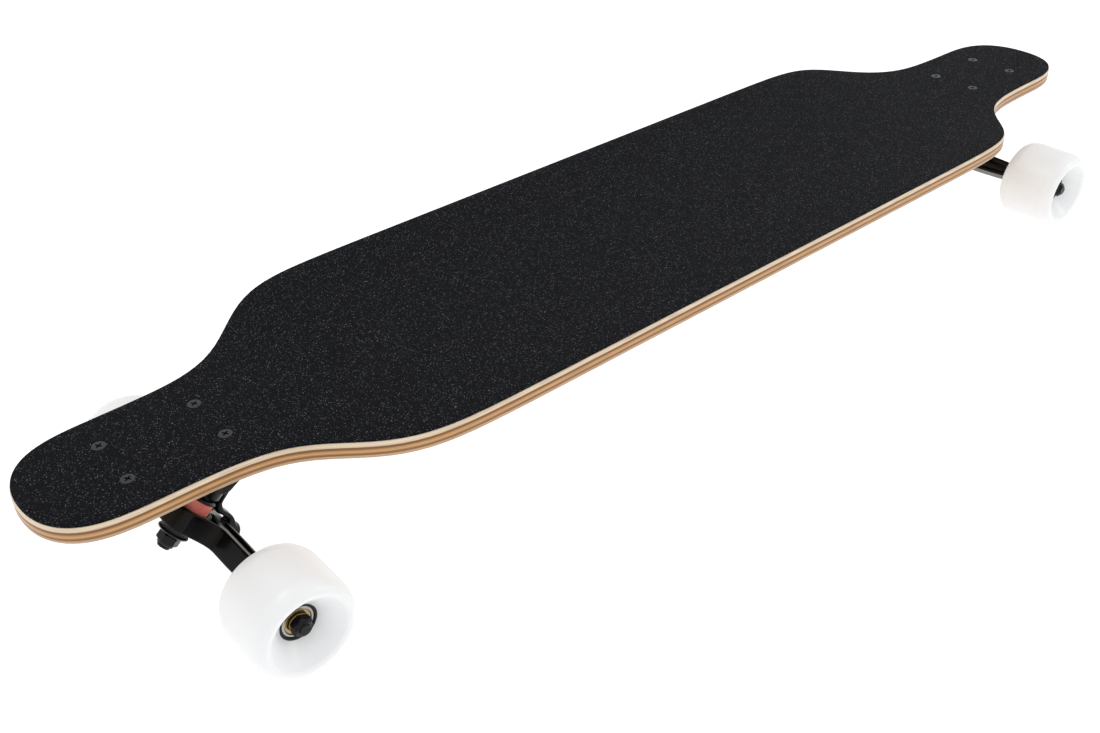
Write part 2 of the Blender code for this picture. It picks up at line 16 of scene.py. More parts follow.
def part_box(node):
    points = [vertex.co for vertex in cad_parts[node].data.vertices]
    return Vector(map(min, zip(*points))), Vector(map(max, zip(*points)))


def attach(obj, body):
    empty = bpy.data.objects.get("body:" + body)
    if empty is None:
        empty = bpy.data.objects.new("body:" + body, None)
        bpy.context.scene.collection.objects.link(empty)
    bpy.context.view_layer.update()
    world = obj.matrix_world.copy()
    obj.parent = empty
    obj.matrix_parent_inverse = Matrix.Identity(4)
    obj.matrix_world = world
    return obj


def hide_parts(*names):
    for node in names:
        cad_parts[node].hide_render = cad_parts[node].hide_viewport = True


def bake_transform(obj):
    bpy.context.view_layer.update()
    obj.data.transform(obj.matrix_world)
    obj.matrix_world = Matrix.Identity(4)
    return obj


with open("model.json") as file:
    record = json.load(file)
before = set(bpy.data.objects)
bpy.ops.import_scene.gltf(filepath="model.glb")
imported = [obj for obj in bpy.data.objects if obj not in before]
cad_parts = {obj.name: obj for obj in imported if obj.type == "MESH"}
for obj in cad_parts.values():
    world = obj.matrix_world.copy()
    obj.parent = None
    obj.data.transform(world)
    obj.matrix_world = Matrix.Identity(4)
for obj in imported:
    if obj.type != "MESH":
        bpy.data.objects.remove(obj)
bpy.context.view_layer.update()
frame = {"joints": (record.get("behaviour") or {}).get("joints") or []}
MM = 0.001
joints = {joint["name"]: joint for joint in frame["joints"]}
TRUCKS = ("front", "rear")
HANDS = ("left", "right")

# %% [markdown]
# ## Camera
# The board is seen from above its near left corner, with the near wheel large. A 39 mm lens close to
# the board gives that strong perspective; a longer lens from further away would flatten it. The camera
# is placed by its position and by the three directions it holds, so nothing depends on a target point.

# %% Camera
VIEW_RIGHT = Vector((0.7591, -0.6506, -0.0227)).normalized()
VIEW_BACK = Vector((-0.5229, -0.6301, 0.5740)).normalized()
camera_data = bpy.data.cameras.new("camera")
camera_data.lens = 39.0
camera_data.sensor_width = 36.0
camera_data.clip_start = 0.01
camera = bpy.data.objects.new("camera", camera_data)
turn = Matrix((VIEW_RIGHT, VIEW_BACK.cross(VIEW_RIGHT), VIEW_BACK)).transposed()
camera.matrix_world = Matrix.Translation((-0.6155, -0.5943, 0.5627)) @ turn.to_4x4()
bpy.context.scene.collection.objects.link(camera)
bpy.context.scene.camera = camera
print("camera height", round(camera.location.z, 3), "m")

# %% [markdown]
# ## Studio
# A product stand: a white surround and a white floor that glows, which give most of the light and keep
# the shadows faint. Two small soft lights of equal power, one beyond the far end and one high above the
# near end, add the highlights on the rail and the trucks.

# %% Surround and lights
SURROUND_STRENGTH = 0.9
LIGHT_POWER = 5
scene = bpy.context.scene
scene.view_settings.view_transform = "Standard"
world = bpy.data.worlds.new("studio")
world.use_nodes = True
background = world.node_tree.nodes["Background"].inputs
background["Color"].default_value = (1, 1, 1, 1)
background["Strength"].default_value = SURROUND_STRENGTH
scene.world = world


def area_light(name, place, aim, size):
    """A square soft light at place, which faces aim."""
    data = bpy.data.lights.new(name, "AREA")
    data.size = size
    data.energy = LIGHT_POWER
    light = bpy.data.objects.new(name, data)
    light.location = place
    light.rotation_euler = (Vector(aim) - Vector(place)).to_track_quat("-Z", "Y").to_euler()
    scene.collection.objects.link(light)


area_light("key_light", (1.7, -1.3, 1.1), (0.3, 0, 0.05), 0.6)
area_light("top_light", (-0.7, 0.5, 1.9), (-0.3, 0, 0), 0.5)
print("lights:", len(bpy.data.lights))


# %% Glowing floor
def new_material(name, **settings):
    """A node material, its tree and its shader, whose sockets are set by name."""
    material = bpy.data.materials.new(name)
    material.use_nodes = True
    surface = material.node_tree.nodes["Principled BSDF"]
    for label, value in settings.items():
        surface.inputs[label.replace("_", " ")].default_value = value
    return material, material.node_tree, surface


FLOOR_REACH = 9  # metres, far past the edges of the view
floor_mesh = bpy.data.meshes.new("floor")
bm = bmesh.new()
bmesh.ops.create_grid(bm, x_segments=1, y_segments=1, size=FLOOR_REACH)
bm.to_mesh(floor_mesh)
bm.free()
floor = bpy.data.objects.new("floor", floor_mesh)
floor_finish, _, _ = new_material(
    "floor",
    Base_Color=(0.3, 0.3, 0.3, 1),
    Roughness=0.9,
    Specular_IOR_Level=0.0,
    Emission_Color=(1, 1, 1, 1),
    Emission_Strength=0.93,
)
floor_mesh.materials.append(floor_finish)
scene.collection.objects.link(floor)
print("stage:", floor.name)

# %% [markdown]
# ## Finishes shared by many pieces
# Two effects turn up on more than one material, so each is a node group: a fine surface texture, which
# puts out a roughness, a mask and a normal, and a wood figure, which draws bands and pores. The shader
# itself stays in each material, with its own colour and metallic value.


# %% Node helpers
def new_group(name, inputs, outputs):
    """An empty shader node group. Inputs and outputs are (name, socket type, default value)."""
    group = bpy.data.node_groups.new(name, "ShaderNodeTree")
    for in_out, sockets in (("INPUT", inputs), ("OUTPUT", outputs)):
        for label, kind, value in sockets:
            socket = group.interface.new_socket(name=label, in_out=in_out, socket_type=kind)
            if value is not None:
                socket.default_value = value
    return group, group.nodes.new("NodeGroupInput"), group.nodes.new("NodeGroupOutput")


def node(tree, kind, **settings):
    """A node with its settings: a socket's label sets that socket, and any other name a property."""
    made = tree.nodes.new(kind)
    for key, value in settings.items():
        label = key.replace("_", " ")
        if label in made.inputs:
            made.inputs[label].default_value = value
        else:
            setattr(made, key, value)
    return made


def mix_colours(tree, factor, first, second):
    """The colour output of a mix of two colours, each a colour or a socket."""
    mix = tree.nodes.new("ShaderNodeMix")
    mix.data_type = "RGBA"
    for value, socket in ((factor, mix.inputs[0]), (first, mix.inputs[6]), (second, mix.inputs[7])):
        if isinstance(value, bpy.types.NodeSocket):
            tree.links.new(value, socket)
        else:
            socket.default_value = value
    return mix.outputs[2]


def wire(tree, *wires):
    """Links nodes. Each wire is (from node, its output, to node, its input)."""
    for source, output, target, entry in wires:
        tree.links.new(source.outputs[output], target.inputs[entry])


FLOAT, COLOUR, VECTOR = "NodeSocketFloat", "NodeSocketColor", "NodeSocketVector"

# %% [markdown]
# The fine texture is two noises: a small one for the grain of paint or moulded urethane, and a broad one
# that breaks up the gloss as handling does. Bump is enough here, because the grains are far below what
# the mesh could hold.

# %% Fine texture group
fine_texture, group_in, group_out = new_group(
    "fine texture",
    [("Grain Size", FLOAT, 1 * MM), ("Depth", FLOAT, 0.02 * MM)]
    + [("Handling", FLOAT, 0.1), ("Gloss", FLOAT, 0.3)],
    [("Roughness", FLOAT, None), ("Mask", FLOAT, None), ("Normal", VECTOR, None)],
)
place = node(fine_texture, "ShaderNodeTexCoord")
scale = node(fine_texture, "ShaderNodeMath", operation="DIVIDE")
scale.inputs[0].default_value = 1.0
grain = node(fine_texture, "ShaderNodeTexNoise", Detail=3.0)
bump = node(fine_texture, "ShaderNodeBump", Strength=0.6)
smudge = node(fine_texture, "ShaderNodeTexNoise", Scale=28.0, Detail=4.0, Roughness=0.6)
centred = node(fine_texture, "ShaderNodeMath", operation="SUBTRACT")
centred.inputs[1].default_value = 0.5
gloss = node(fine_texture, "ShaderNodeMath", operation="MULTIPLY_ADD", use_clamp=True)
wire(
    fine_texture,
    (group_in, "Grain Size", scale, 1),
    (place, "Object", grain, "Vector"),
    (scale, 0, grain, "Scale"),
    (grain, "Fac", bump, "Height"),
    (group_in, "Depth", bump, "Distance"),
    (place, "Object", smudge, "Vector"),
    (smudge, "Fac", centred, 0),
    (centred, 0, gloss, 0),
    (group_in, "Handling", gloss, 1),
    (group_in, "Gloss", gloss, 2),
    (gloss, 0, group_out, "Roughness"),
    (smudge, "Fac", group_out, "Mask"),
    (bump, "Normal", group_out, "Normal"),
)
print("group:", fine_texture.name)

# %% [markdown]
# Wood has long soft bands and short dark pores. The group takes a coordinate already stretched along the
# grain and two colours, and puts out their mix and a height for the pores.

# %% Wood figure group
wood_figure, group_in, group_out = new_group(
    "wood figure",
    [("Vector", VECTOR, None), ("Light", COLOUR, (0.7, 0.5, 0.3, 1)), ("Dark", COLOUR, (0.4, 0.25, 0.1, 1))],
    [("Color", COLOUR, None), ("Pores", FLOAT, None)],
)
bands = node(wood_figure, "ShaderNodeTexNoise", Scale=1.0, Detail=5.0, Roughness=0.55, Distortion=0.6)
pores = node(wood_figure, "ShaderNodeTexNoise", Scale=9.0, Detail=2.0, Roughness=0.7)
band_range = node(wood_figure, "ShaderNodeMapRange", From_Min=0.38, From_Max=0.66)
pore_range = node(wood_figure, "ShaderNodeMapRange", From_Min=0.62, From_Max=0.72, To_Max=0.55)
light, dark = group_in.outputs["Light"], group_in.outputs["Dark"]
banded = mix_colours(wood_figure, band_range.outputs["Result"], light, dark)
pored = mix_colours(wood_figure, pore_range.outputs["Result"], banded, dark)
wood_figure.links.new(pored, group_out.inputs["Color"])
wire(
    wood_figure,
    (group_in, "Vector", bands, "Vector"),
    (group_in, "Vector", pores, "Vector"),
    (bands, "Fac", band_range, "Value"),
    (pores, "Fac", pore_range, "Value"),
    (pore_range, "Result", group_out, "Pores"),
)
print("group:", wood_figure.name)

# %% [markdown]
# ## Plain finishes
# Most of the hardware needs only a colour, a metallic value and the fine texture, so one function makes
# those materials. The black castings are powder coated: a dark base under a clear gloss with a slight
# orange peel. The steels are ground or blackened, and the pale urethanes let a little light in.


# %% Finishes from the fine texture
def finish(
    name, colour, gloss, metallic=0.0, grain=0.5 * MM, depth=0.01 * MM, handling=0.1, shade=0.75, **shader
):
    """A material whose colour falls to shade times itself where it is handled."""
    material, tree, surface = new_material(name, Metallic=metallic, **shader)
    texture = node(tree, "ShaderNodeGroup", node_tree=fine_texture)
    for label, value in (("Grain Size", grain), ("Depth", depth), ("Handling", handling), ("Gloss", gloss)):
        texture.inputs[label].default_value = value
    worn = (*(channel * shade for channel in colour), 1)
    worn_colour = mix_colours(tree, texture.outputs["Mask"], (*colour, 1), worn)
    tree.links.new(worn_colour, surface.inputs["Base Color"])
    wire(tree, (texture, "Roughness", surface, "Roughness"), (texture, "Normal", surface, "Normal"))
    return material


powder_coat = finish(
    "black powder coat",
    (0.002, 0.002, 0.0025),
    0.28,
    grain=1.6 * MM,
    depth=0.03 * MM,
    Specular_IOR_Level=0.12,
    Coat_Weight=0.12,
    Coat_Roughness=0.1,
)
blackened_steel = finish("blackened steel", (0.016, 0.016, 0.018), 0.3, 0.8, handling=0.3, depth=0.008 * MM)
bolt_black = finish("bolt black", (0.038, 0.04, 0.043), 0.36, 0.6, handling=0.3)
ground_steel = finish("ground steel", (0.4, 0.39, 0.37), 0.2, 1.0, depth=0.004 * MM, handling=0.15)
gilt_steel = finish("yellow passivated steel", (0.42, 0.32, 0.15), 0.24, 1.0, handling=0.25, shade=0.7)
rose_urethane = finish(
    "rose urethane",
    (0.78, 0.2, 0.16),
    0.42,
    grain=0.8 * MM,
    Subsurface_Weight=0.3,
    Subsurface_Radius=(2 * MM, 1 * MM, 1 * MM),
)
black_urethane = finish("black urethane", (0.008, 0.008, 0.009), 0.5, grain=0.8 * MM, Specular_IOR_Level=0.25)
white_urethane = finish(
    "white urethane",
    (0.86, 0.868, 0.875),
    0.4,
    grain=1.4 * MM,
    depth=0.012 * MM,
    shade=0.97,
    Subsurface_Weight=0.25,
    Subsurface_Radius=(3 * MM, 3 * MM, 3 * MM),
    Coat_Weight=0.15,
    Coat_Roughness=0.2,
)
core_plastic = finish(
    "black core plastic", (0.006, 0.006, 0.007), 0.4, grain=0.9 * MM, Specular_IOR_Level=0.25
)
nylon = finish("dark nylon", (0.03, 0.032, 0.036), 0.45)
print("finishes:", len(bpy.data.materials))

# %% [markdown]
# ## Maple
# The deck is eight maple veneers. Its rail shows their edges: the long-grain veneers stay pale and run
# together into bands, and the cross veneers between them show dark end grain. The mesh carries a map
# called "ply", whose height runs from the top face to the bottom face, so a colour ramp along it draws
# the same bands at every bend of the deck. A second material puts the wood figure on the faces, of
# which only the underside is seen.

# %% Maple rail and faces
PLY_STOPS = [  # depth as a share of the deck's thickness, and the colour reached there
    (0.0, (0.84, 0.7, 0.53)),
    (0.23, (0.78, 0.62, 0.44)),
    (0.275, (0.2, 0.09, 0.032)),
    (0.37, (0.18, 0.08, 0.028)),
    (0.4, (0.44, 0.21, 0.07)),
    (0.54, (0.66, 0.37, 0.15)),
    (0.69, (0.24, 0.115, 0.042)),
    (0.71, (0.2, 0.095, 0.035)),
    (0.815, (0.56, 0.36, 0.22)),
    (0.91, (0.5, 0.33, 0.21)),
]
RAIL_GRAIN = 55  # figure repeats per metre along the rail


def maple(name, on_rail):
    """Lacquered maple: the ply bands on the rail, or the face veneer's figure."""
    material, tree, surface = new_material(
        name,
        Roughness=0.42 if on_rail else 0.3,
        Specular_IOR_Level=0.3,
        Coat_Weight=0.12,
        Coat_Roughness=0.2,
    )
    figure = node(tree, "ShaderNodeGroup", node_tree=wood_figure)
    stretch = node(tree, "ShaderNodeMapping", Scale=(RAIL_GRAIN, 15, 1) if on_rail else (7, 95, 40))
    bump = node(tree, "ShaderNodeBump", Strength=0.25, Distance=0.05 * MM, invert=True)
    if on_rail:
        ply_map = node(tree, "ShaderNodeUVMap", uv_map="ply")
        height = node(tree, "ShaderNodeSeparateXYZ")
        ramp = node(tree, "ShaderNodeValToRGB")
        ramp.color_ramp.interpolation = "EASE"
        stops = ramp.color_ramp.elements
        stops.remove(stops[1])
        for depth, colour in PLY_STOPS:
            stop = stops[0] if depth == 0 else stops.new(depth)
            stop.color = (*colour, 1)
        darker = mix_colours(tree, 0.42, ramp.outputs["Color"], (0.2, 0.1, 0.045, 1))
        tree.links.new(darker, figure.inputs["Dark"])
        wire(
            tree,
            (ply_map, "UV", stretch, "Vector"),
            (ply_map, "UV", height, 0),
            (height, "Y", ramp, "Fac"),
            (ramp, "Color", figure, "Light"),
        )
    else:
        place = node(tree, "ShaderNodeTexCoord")
        figure.inputs["Light"].default_value = (0.72, 0.53, 0.35, 1)
        figure.inputs["Dark"].default_value = (0.55, 0.36, 0.2, 1)
        wire(tree, (place, "Object", stretch, "Vector"))
    wire(
        tree,
        (stretch, "Vector", figure, "Vector"),
        (figure, "Color", surface, "Base Color"),
        (figure, "Pores", bump, "Height"),
        (bump, "Normal", surface, "Normal"),
    )
    return material


maple_rail = maple("maple rail", True)
maple_face = maple("maple face", False)
print("colour stops across the rail:", len(PLY_STOPS))

# %% [markdown]
# ## Grip tape
# Grip tape is crushed mineral in black resin. Seen from a step away it is a black field with a fine,
# slightly coloured sparkle, where a few grains face the light. Cells the size of a grain give each one
# a bump and a shade of its own, and the brightest few of them are painted pale grey, blue or warm, as
# a painted glint that stands for that sparkle.

# %% Grit material
GRIT_SIZE = 0.5 * MM


def make_grit():
    """Black resin with a painted glint: the brightest few grains are coloured grey, blue or warm."""
    material, tree, surface = new_material("black grit", Roughness=0.75, Specular_IOR_Level=0.09)
    place = node(tree, "ShaderNodeTexCoord")
    grains = node(tree, "ShaderNodeTexVoronoi", Scale=1 / GRIT_SIZE)
    broad = node(tree, "ShaderNodeTexNoise", Scale=60.0, Detail=5.0, Roughness=0.65)
    shade = node(tree, "ShaderNodeSeparateColor")
    # Painted glint: the brightest few grain cells are painted pale grey, blue or warm, in place of the
    # sparkle of grains that face the light.
    painted_glint_cells = node(tree, "ShaderNodeMapRange", From_Min=0.87, From_Max=1.0)
    painted_glint_weight = node(tree, "ShaderNodeMath", operation="POWER")
    painted_glint_weight.inputs[1].default_value = 3.0
    bump = node(tree, "ShaderNodeBump", Strength=0.8, Distance=0.22 * MM)
    painted_glint_colour = mix_colours(tree, shade.outputs["Green"], (0.085, 0.115, 0.17, 1), (0.2, 0.18, 0.16, 1))
    field = mix_colours(tree, broad.outputs["Fac"], (0.0008, 0.001, 0.0018, 1), (0.0036, 0.0042, 0.0062, 1))
    tree.links.new(mix_colours(tree, painted_glint_weight.outputs[0], field, painted_glint_colour), surface.inputs["Base Color"])
    wire(
        tree,
        (place, "Object", grains, "Vector"),
        (place, "Object", broad, "Vector"),
        (grains, "Color", shade, 0),
        (shade, "Red", painted_glint_cells, "Value"),
        (painted_glint_cells, "Result", painted_glint_weight, 0),
        (grains, "Distance", bump, "Height"),
        (bump, "Normal", surface, "Normal"),
    )
    return material


grit = make_grit()
print("grain size", round(GRIT_SIZE / MM, 2), "mm")

# %% [markdown]
# ## Tools for making pieces
# Round hardware is a profile turned about Z. Flat stock is an outline drawn in XY and raised. Castings
# start as such solids, joined and cut with Booleans; a voxel remesh then makes one even skin of them,
# and smoothing it rounds every inside and outside corner, as sand or die casting does.


# %% Turning, raising and placing
def soften(points, steps=4, closed=False):
    """The points with each corner (x, y, radius) turned into a short curve; a plain (x, y) stays sharp."""
    count = len(points)
    result = []
    for index, (x, y, *radius) in enumerate(points):
        corner = Vector((x, y))
        if not radius or (not closed and index in (0, count - 1)):
            result.append(corner)
            continue
        before = Vector(points[index - 1][:2]) - corner
        after = Vector(points[(index + 1) % count][:2]) - corner
        reach = min(radius[0], before.length / 2, after.length / 2)
        start, end = corner + before.normalized() * reach, corner + after.normalized() * reach
        for step in range(steps + 1):
            t = step / steps
            result.append(start * (1 - t) ** 2 + corner * 2 * t * (1 - t) + end * t**2)
    return result


def finished_mesh(bm, name):
    """Closes seams, points the faces outwards and turns the bmesh into a mesh."""
    bmesh.ops.remove_doubles(bm, verts=bm.verts, dist=1e-6)
    bmesh.ops.recalc_face_normals(bm, faces=bm.faces)
    mesh = bpy.data.meshes.new(name)
    bm.to_mesh(mesh)
    bm.free()
    return mesh


def belt(bm, ring, following):
    """Joins two rings of as many points with a closed belt of faces."""
    for i, point in enumerate(ring):
        after = (i + 1) % len(ring)
        bm.faces.new((point, ring[after], following[after], following[i]))


def turned(profile, segments=64, closed=True, steps=4):
    """A solid of revolution about Z from (radius, z) points, each with an optional corner radius."""
    bm = bmesh.new()
    points = soften(profile, steps, closed)
    verts = [bm.verts.new((p.x, 0, p.y)) for p in points]
    pairs = list(zip(verts, verts[1:])) + ([(verts[-1], verts[0])] if closed else [])
    edges = [bm.edges.new(pair) for pair in pairs]
    bmesh.ops.spin(bm, geom=verts + edges, cent=(0, 0, 0), axis=(0, 0, 1), angle=math.tau, steps=segments)
    return finished_mesh(bm, "turned")


def raised(outline, low, high, steps=5):
    """An outline in XY, with rounded corners, as a plate from low to high."""
    bm = bmesh.new()
    face = bm.faces.new([bm.verts.new((p.x, p.y, low)) for p in soften(outline, steps, True)])
    lifted = bmesh.ops.extrude_face_region(bm, geom=[face])
    top = [element for element in lifted["geom"] if isinstance(element, bmesh.types.BMVert)]
    bmesh.ops.translate(bm, verts=top, vec=(0, 0, high - low))
    return finished_mesh(bm, "plate")


def rod(radius, low, high, sides=48, edge=0.0):
    """A cylinder along Z with softened rims."""
    return turned([(0, high), (radius, high, edge), (radius, low, edge), (0, low)], sides, closed=False)


def mm(points):
    """Points written in millimetres, in metres."""
    return [tuple(value * MM for value in point) for point in points]


def moved(mesh, place):
    """The mesh itself, after place has been applied to it."""
    mesh.transform(place)
    return mesh


def painted(mesh, material):
    """The mesh, all in one material."""
    mesh.materials.clear()
    mesh.materials.append(material)
    mesh.polygons.foreach_set("material_index", [0] * len(mesh.polygons))
    return mesh


def merged(*meshes):
    """One mesh that holds separate shells, each with the materials it came with."""
    bm = bmesh.new()
    materials = []
    for mesh in meshes:
        first_face = len(bm.faces)
        bm.from_mesh(mesh)
        bm.faces.ensure_lookup_table()
        for face in bm.faces[first_face:]:
            face.material_index += len(materials)
        materials += list(mesh.materials)
    result = bpy.data.meshes.new("merged")
    bm.to_mesh(result)
    bm.free()
    for material in materials:
        result.materials.append(material)
    return result


def evaluated(obj):
    """A plain mesh of the object with its modifiers applied; the object is then removed."""
    bpy.context.view_layer.update()
    mesh = bpy.data.meshes.new_from_object(obj.evaluated_get(bpy.context.evaluated_depsgraph_get()))
    bpy.data.objects.remove(obj)
    return mesh


def on_bench(mesh, name="bench"):
    """The mesh as an object in the scene."""
    obj = bpy.data.objects.new(name, mesh)
    scene.collection.objects.link(obj)
    return obj


def carved(base, add=(), cut=(), keep=()):
    """The base solid joined with add, cut by cut and trimmed to keep, with exact Booleans."""
    work = on_bench(base)
    tools = []
    for operation, meshes in (("UNION", add), ("DIFFERENCE", cut), ("INTERSECT", keep)):
        for mesh in meshes:
            tool = on_bench(mesh)
            tool.hide_render = True
            tools.append(tool)
            boolean = work.modifiers.new(operation, "BOOLEAN")
            boolean.operation = operation
            boolean.object = tool
    mesh = evaluated(work)
    for tool in tools:
        bpy.data.objects.remove(tool)
    return mesh


def cast(solid, voxel, smoothing):
    """A solid as a casting: an even voxel skin whose corners are rounded by smoothing."""
    work = on_bench(solid)
    remesh = work.modifiers.new("skin", "REMESH")
    remesh.mode = "VOXEL"
    remesh.voxel_size = voxel
    smooth = work.modifiers.new("fettle", "SMOOTH")
    smooth.factor = 0.5
    smooth.iterations = smoothing
    return evaluated(work)


def piece(name, mesh, material, body, stands_for, crease=35):
    """A finished piece at the origin, which rides on a body and stands for the CAD nodes named."""
    if material:
        painted(mesh, material)
    mesh.shade_smooth()
    if crease:
        mesh.set_sharp_from_angle(angle=math.radians(crease))
    mesh.name = name
    obj = on_bench(mesh, name)
    if body:
        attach(obj, body)
    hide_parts(*stands_for)
    return obj


def middle(node_name):
    """The middle of a CAD node's box."""
    low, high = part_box(node_name)
    return (low + high) / 2


# %% [markdown]
# ## Places
# Every place comes from the frame. The middle of four deck bolts gives a truck's own frame, whose X
# points towards the nearer tip, and the steering joint gives the kingpin frame: its origin is where the
# kingpin crosses the steering axis, X is that axis and Z runs up the kingpin into the baseplate.

# %% Truck, kingpin and wheel frames
BOLT_NUMBERS = range(1, 5)
TRUCK = {}
for truck in TRUCKS:
    centre = sum((middle(f"{truck}_deck_bolt_{number}") for number in BOLT_NUMBERS), Vector()) / 4
    facing = Matrix.Rotation(0 if centre.x > 0 else math.pi, 4, "Z")
    TRUCK[truck] = Matrix.Translation((centre.x, 0, 0)) @ facing
steer = joints["front_steer"]
slope = math.atan2(steer["axis"][2], steer["axis"][0])
RING = TRUCK["front"].inverted() @ Vector(steer["pos_m"])
KINGPIN = Matrix.Translation(RING) @ Matrix.Rotation(-slope, 4, "Y")
ALONG_AXIS = Matrix.Rotation(math.pi / 2, 4, "Y")  # turns Z onto X
ALONG_AXLE = Matrix.Rotation(-math.pi / 2, 4, "X")  # turns Z onto Y
UPRIGHT = Matrix.Rotation(math.pi / 2, 4, "X")  # stands an XY outline up in XZ
UPSIDE_DOWN = Matrix.Rotation(math.pi, 4, "X")
axle_middle = middle("front_axle")
AXLE = KINGPIN.inverted() @ TRUCK["front"].inverted() @ Vector((axle_middle.x, 0, axle_middle.z))
WHEEL = {}
for truck in TRUCKS:
    for hand in HANDS:
        centre = middle(f"{truck}_{hand}_wheel")
        outward = Matrix.Rotation(math.copysign(math.pi / 2, -centre.y), 4, "X")
        WHEEL[truck, hand] = Matrix.Translation(centre) @ outward


def on_truck(truck, name, mesh, place, material, slot, body, stands_for, crease=35):
    """A copy of the mesh at place in a truck's own frame, as that truck's piece."""
    placed = moved(mesh.copy(), TRUCK[truck] @ place)
    return piece(f"{truck}_{name}", placed, material, body, [f"{truck}_{stands_for}"], crease)


print("kingpin ring", round(RING.z / MM, 1), "mm up, steering axis at", round(math.degrees(slope)), "degrees")

# %% [markdown]
# ## Deck
# The deck is pressed from flat veneers, so it has one thickness everywhere and its shape is two rules: an
# outline that flares from the truck beds to a wide platform, and a height that curves up towards the
# platform's rails. A grid is laid over the outline, each point is lifted by the height rule, and the
# rim is carried round the rounded rail in rings. The depth of each point goes into the "ply" map.

# %% Outline and concave rules
deck_low, deck_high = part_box("deck")
LENGTH = deck_high.x - deck_low.x
PLATFORM = (deck_high.y - deck_low.y) / 2
RIDE_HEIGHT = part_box("front_deck_bolt_1")[1].z
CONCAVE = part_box("grip_tape")[1].z - RIDE_HEIGHT
NECK = 50.2 * MM  # half the width over a truck
FLARE_AT, FLARE_LENGTH = 345.5 * MM, 36 * MM
TIP_FROM, TIP_FULLNESS, TIP_BLUNTNESS = 450 * MM, 3.5, 2.2
CONCAVE_UNTIL, CONCAVE_FADE, FLAT_BEYOND = 341 * MM, 34 * MM, 392 * MM
THICKNESS, RAIL_RADIUS = 12.16 * MM, 1.7 * MM
GRIP, BOND = 0.9 * MM, 0.3 * MM  # the tape, and the resin that fills the gap under it
DECK_TOP = RIDE_HEIGHT - GRIP - BOND


def half_width(x, inset):
    """Half the deck's width at x, less an inset from the rail."""
    x = abs(x)
    swing = (PLATFORM - NECK) / 2
    width = (PLATFORM + NECK) / 2 + swing * math.tanh((FLARE_AT - x) / FLARE_LENGTH) - inset
    tip = (x - TIP_FROM) / (LENGTH / 2 - inset - TIP_FROM)
    if tip > 0:
        width *= max(0.0, 1 - min(tip, 1.0) ** TIP_FULLNESS) ** (1 / TIP_BLUNTNESS)
    return width


def concave(x, y):
    """How far the deck rises at (x, y) above its flat truck beds."""
    if abs(x) > FLAT_BEYOND:
        return 0.0
    fade = 0.5 + 0.5 * math.tanh((CONCAVE_UNTIL - abs(x)) / CONCAVE_FADE)
    return CONCAVE * fade * (y / PLATFORM) ** 2


def stations(inset, spacing=7 * MM, tip_steps=22):
    """Distances along the deck, evenly spaced as far as the tips and crowded towards their ends."""
    end = LENGTH / 2 - inset
    straight = round(TIP_FROM / spacing)
    half = [TIP_FROM * i / straight for i in range(straight)]
    for i in range(tip_steps + 1):
        half.append(TIP_FROM + (end - TIP_FROM) * math.sin(math.pi / 2 * i / tip_steps))
    return [-x for x in reversed(half[1:])] + half


print("deck", round(LENGTH / MM), "mm long and", round(2 * PLATFORM / MM), "mm wide")


# %% Pressed sheet
def pressed_sheet(inset, top, thickness, rail_radius, columns=30, arc=4):
    """A sheet under the outline with rounded rails, and a map of its depth called "ply"."""
    bm = bmesh.new()
    ply = bm.loops.layers.uv.new("ply")
    depth_of = {}
    inner = inset + rail_radius

    def vertex(x, y, depth):
        made = bm.verts.new((x, y, top + concave(x, y) - depth))
        depth_of[made] = depth / thickness
        return made

    caps = []
    for depth in (0.0, thickness):
        rows = []
        for x in stations(inner):
            width = half_width(x, inner)
            if width < 1e-6:
                rows.append([vertex(x, 0, depth)] * (columns + 1))
            else:
                rows.append([vertex(x, width * (2 * j / columns - 1), depth) for j in range(columns + 1)])
        for row, following in zip(rows, rows[1:]):
            for j in range(columns):
                corners = dict.fromkeys((row[j], following[j], following[j + 1], row[j + 1]))
                bm.faces.new(corners)
        caps.append([row[0] for row in rows] + [row[-1] for row in reversed(rows[1:-1])])
    rim = [vert.co.xy for vert in caps[0]]
    outward = []
    for i in range(len(rim)):
        along = (rim[(i + 1) % len(rim)] - rim[i - 1]).normalized()
        outward.append(Vector((along.y, -along.x)))
    turns = [math.pi / 2 * i / arc for i in range(1, arc + 1)]
    bend = [(math.sin(t) * rail_radius, (1 - math.cos(t)) * rail_radius) for t in turns]
    profile = bend + [(rail_radius, thickness / 2)]
    profile += [(out, thickness - depth) for out, depth in reversed(bend)]
    ring = caps[0]
    for out, depth in profile:
        spots = [point + direction * out for point, direction in zip(rim, outward)]
        following = [vertex(spot.x, spot.y, depth) for spot in spots]
        belt(bm, ring, following)
        ring = following
    belt(bm, ring, caps[1])
    travelled = {vert: sum(vert.co.xy) for vert in bm.verts}
    for face in bm.faces:
        for loop in face.loops:
            loop[ply].uv = (travelled[loop.vert], depth_of[loop.vert])
    return finished_mesh(bm, "sheet")


def every(kind):
    """The CAD names of one kind of fixing, at all eight places."""
    return [f"{truck}_{kind}_{number}" for truck in TRUCKS for number in BOLT_NUMBERS]


def bolt_holes(radius, head_radius, head_depth, low):
    """Cutters for the deck bolts' clearance holes and countersinks."""
    above = RIDE_HEIGHT + 3 * MM
    profile = [
        (0, above),
        (head_radius + 1 * MM, above),
        (head_radius, RIDE_HEIGHT),
        (radius, RIDE_HEIGHT - head_depth),
        (radius, low),
        (0, low),
    ]
    places = [Matrix.Translation((*middle(name).xy, 0)) for name in every("deck_bolt")]
    return [moved(turned(profile, 40, closed=False), place) for place in places]


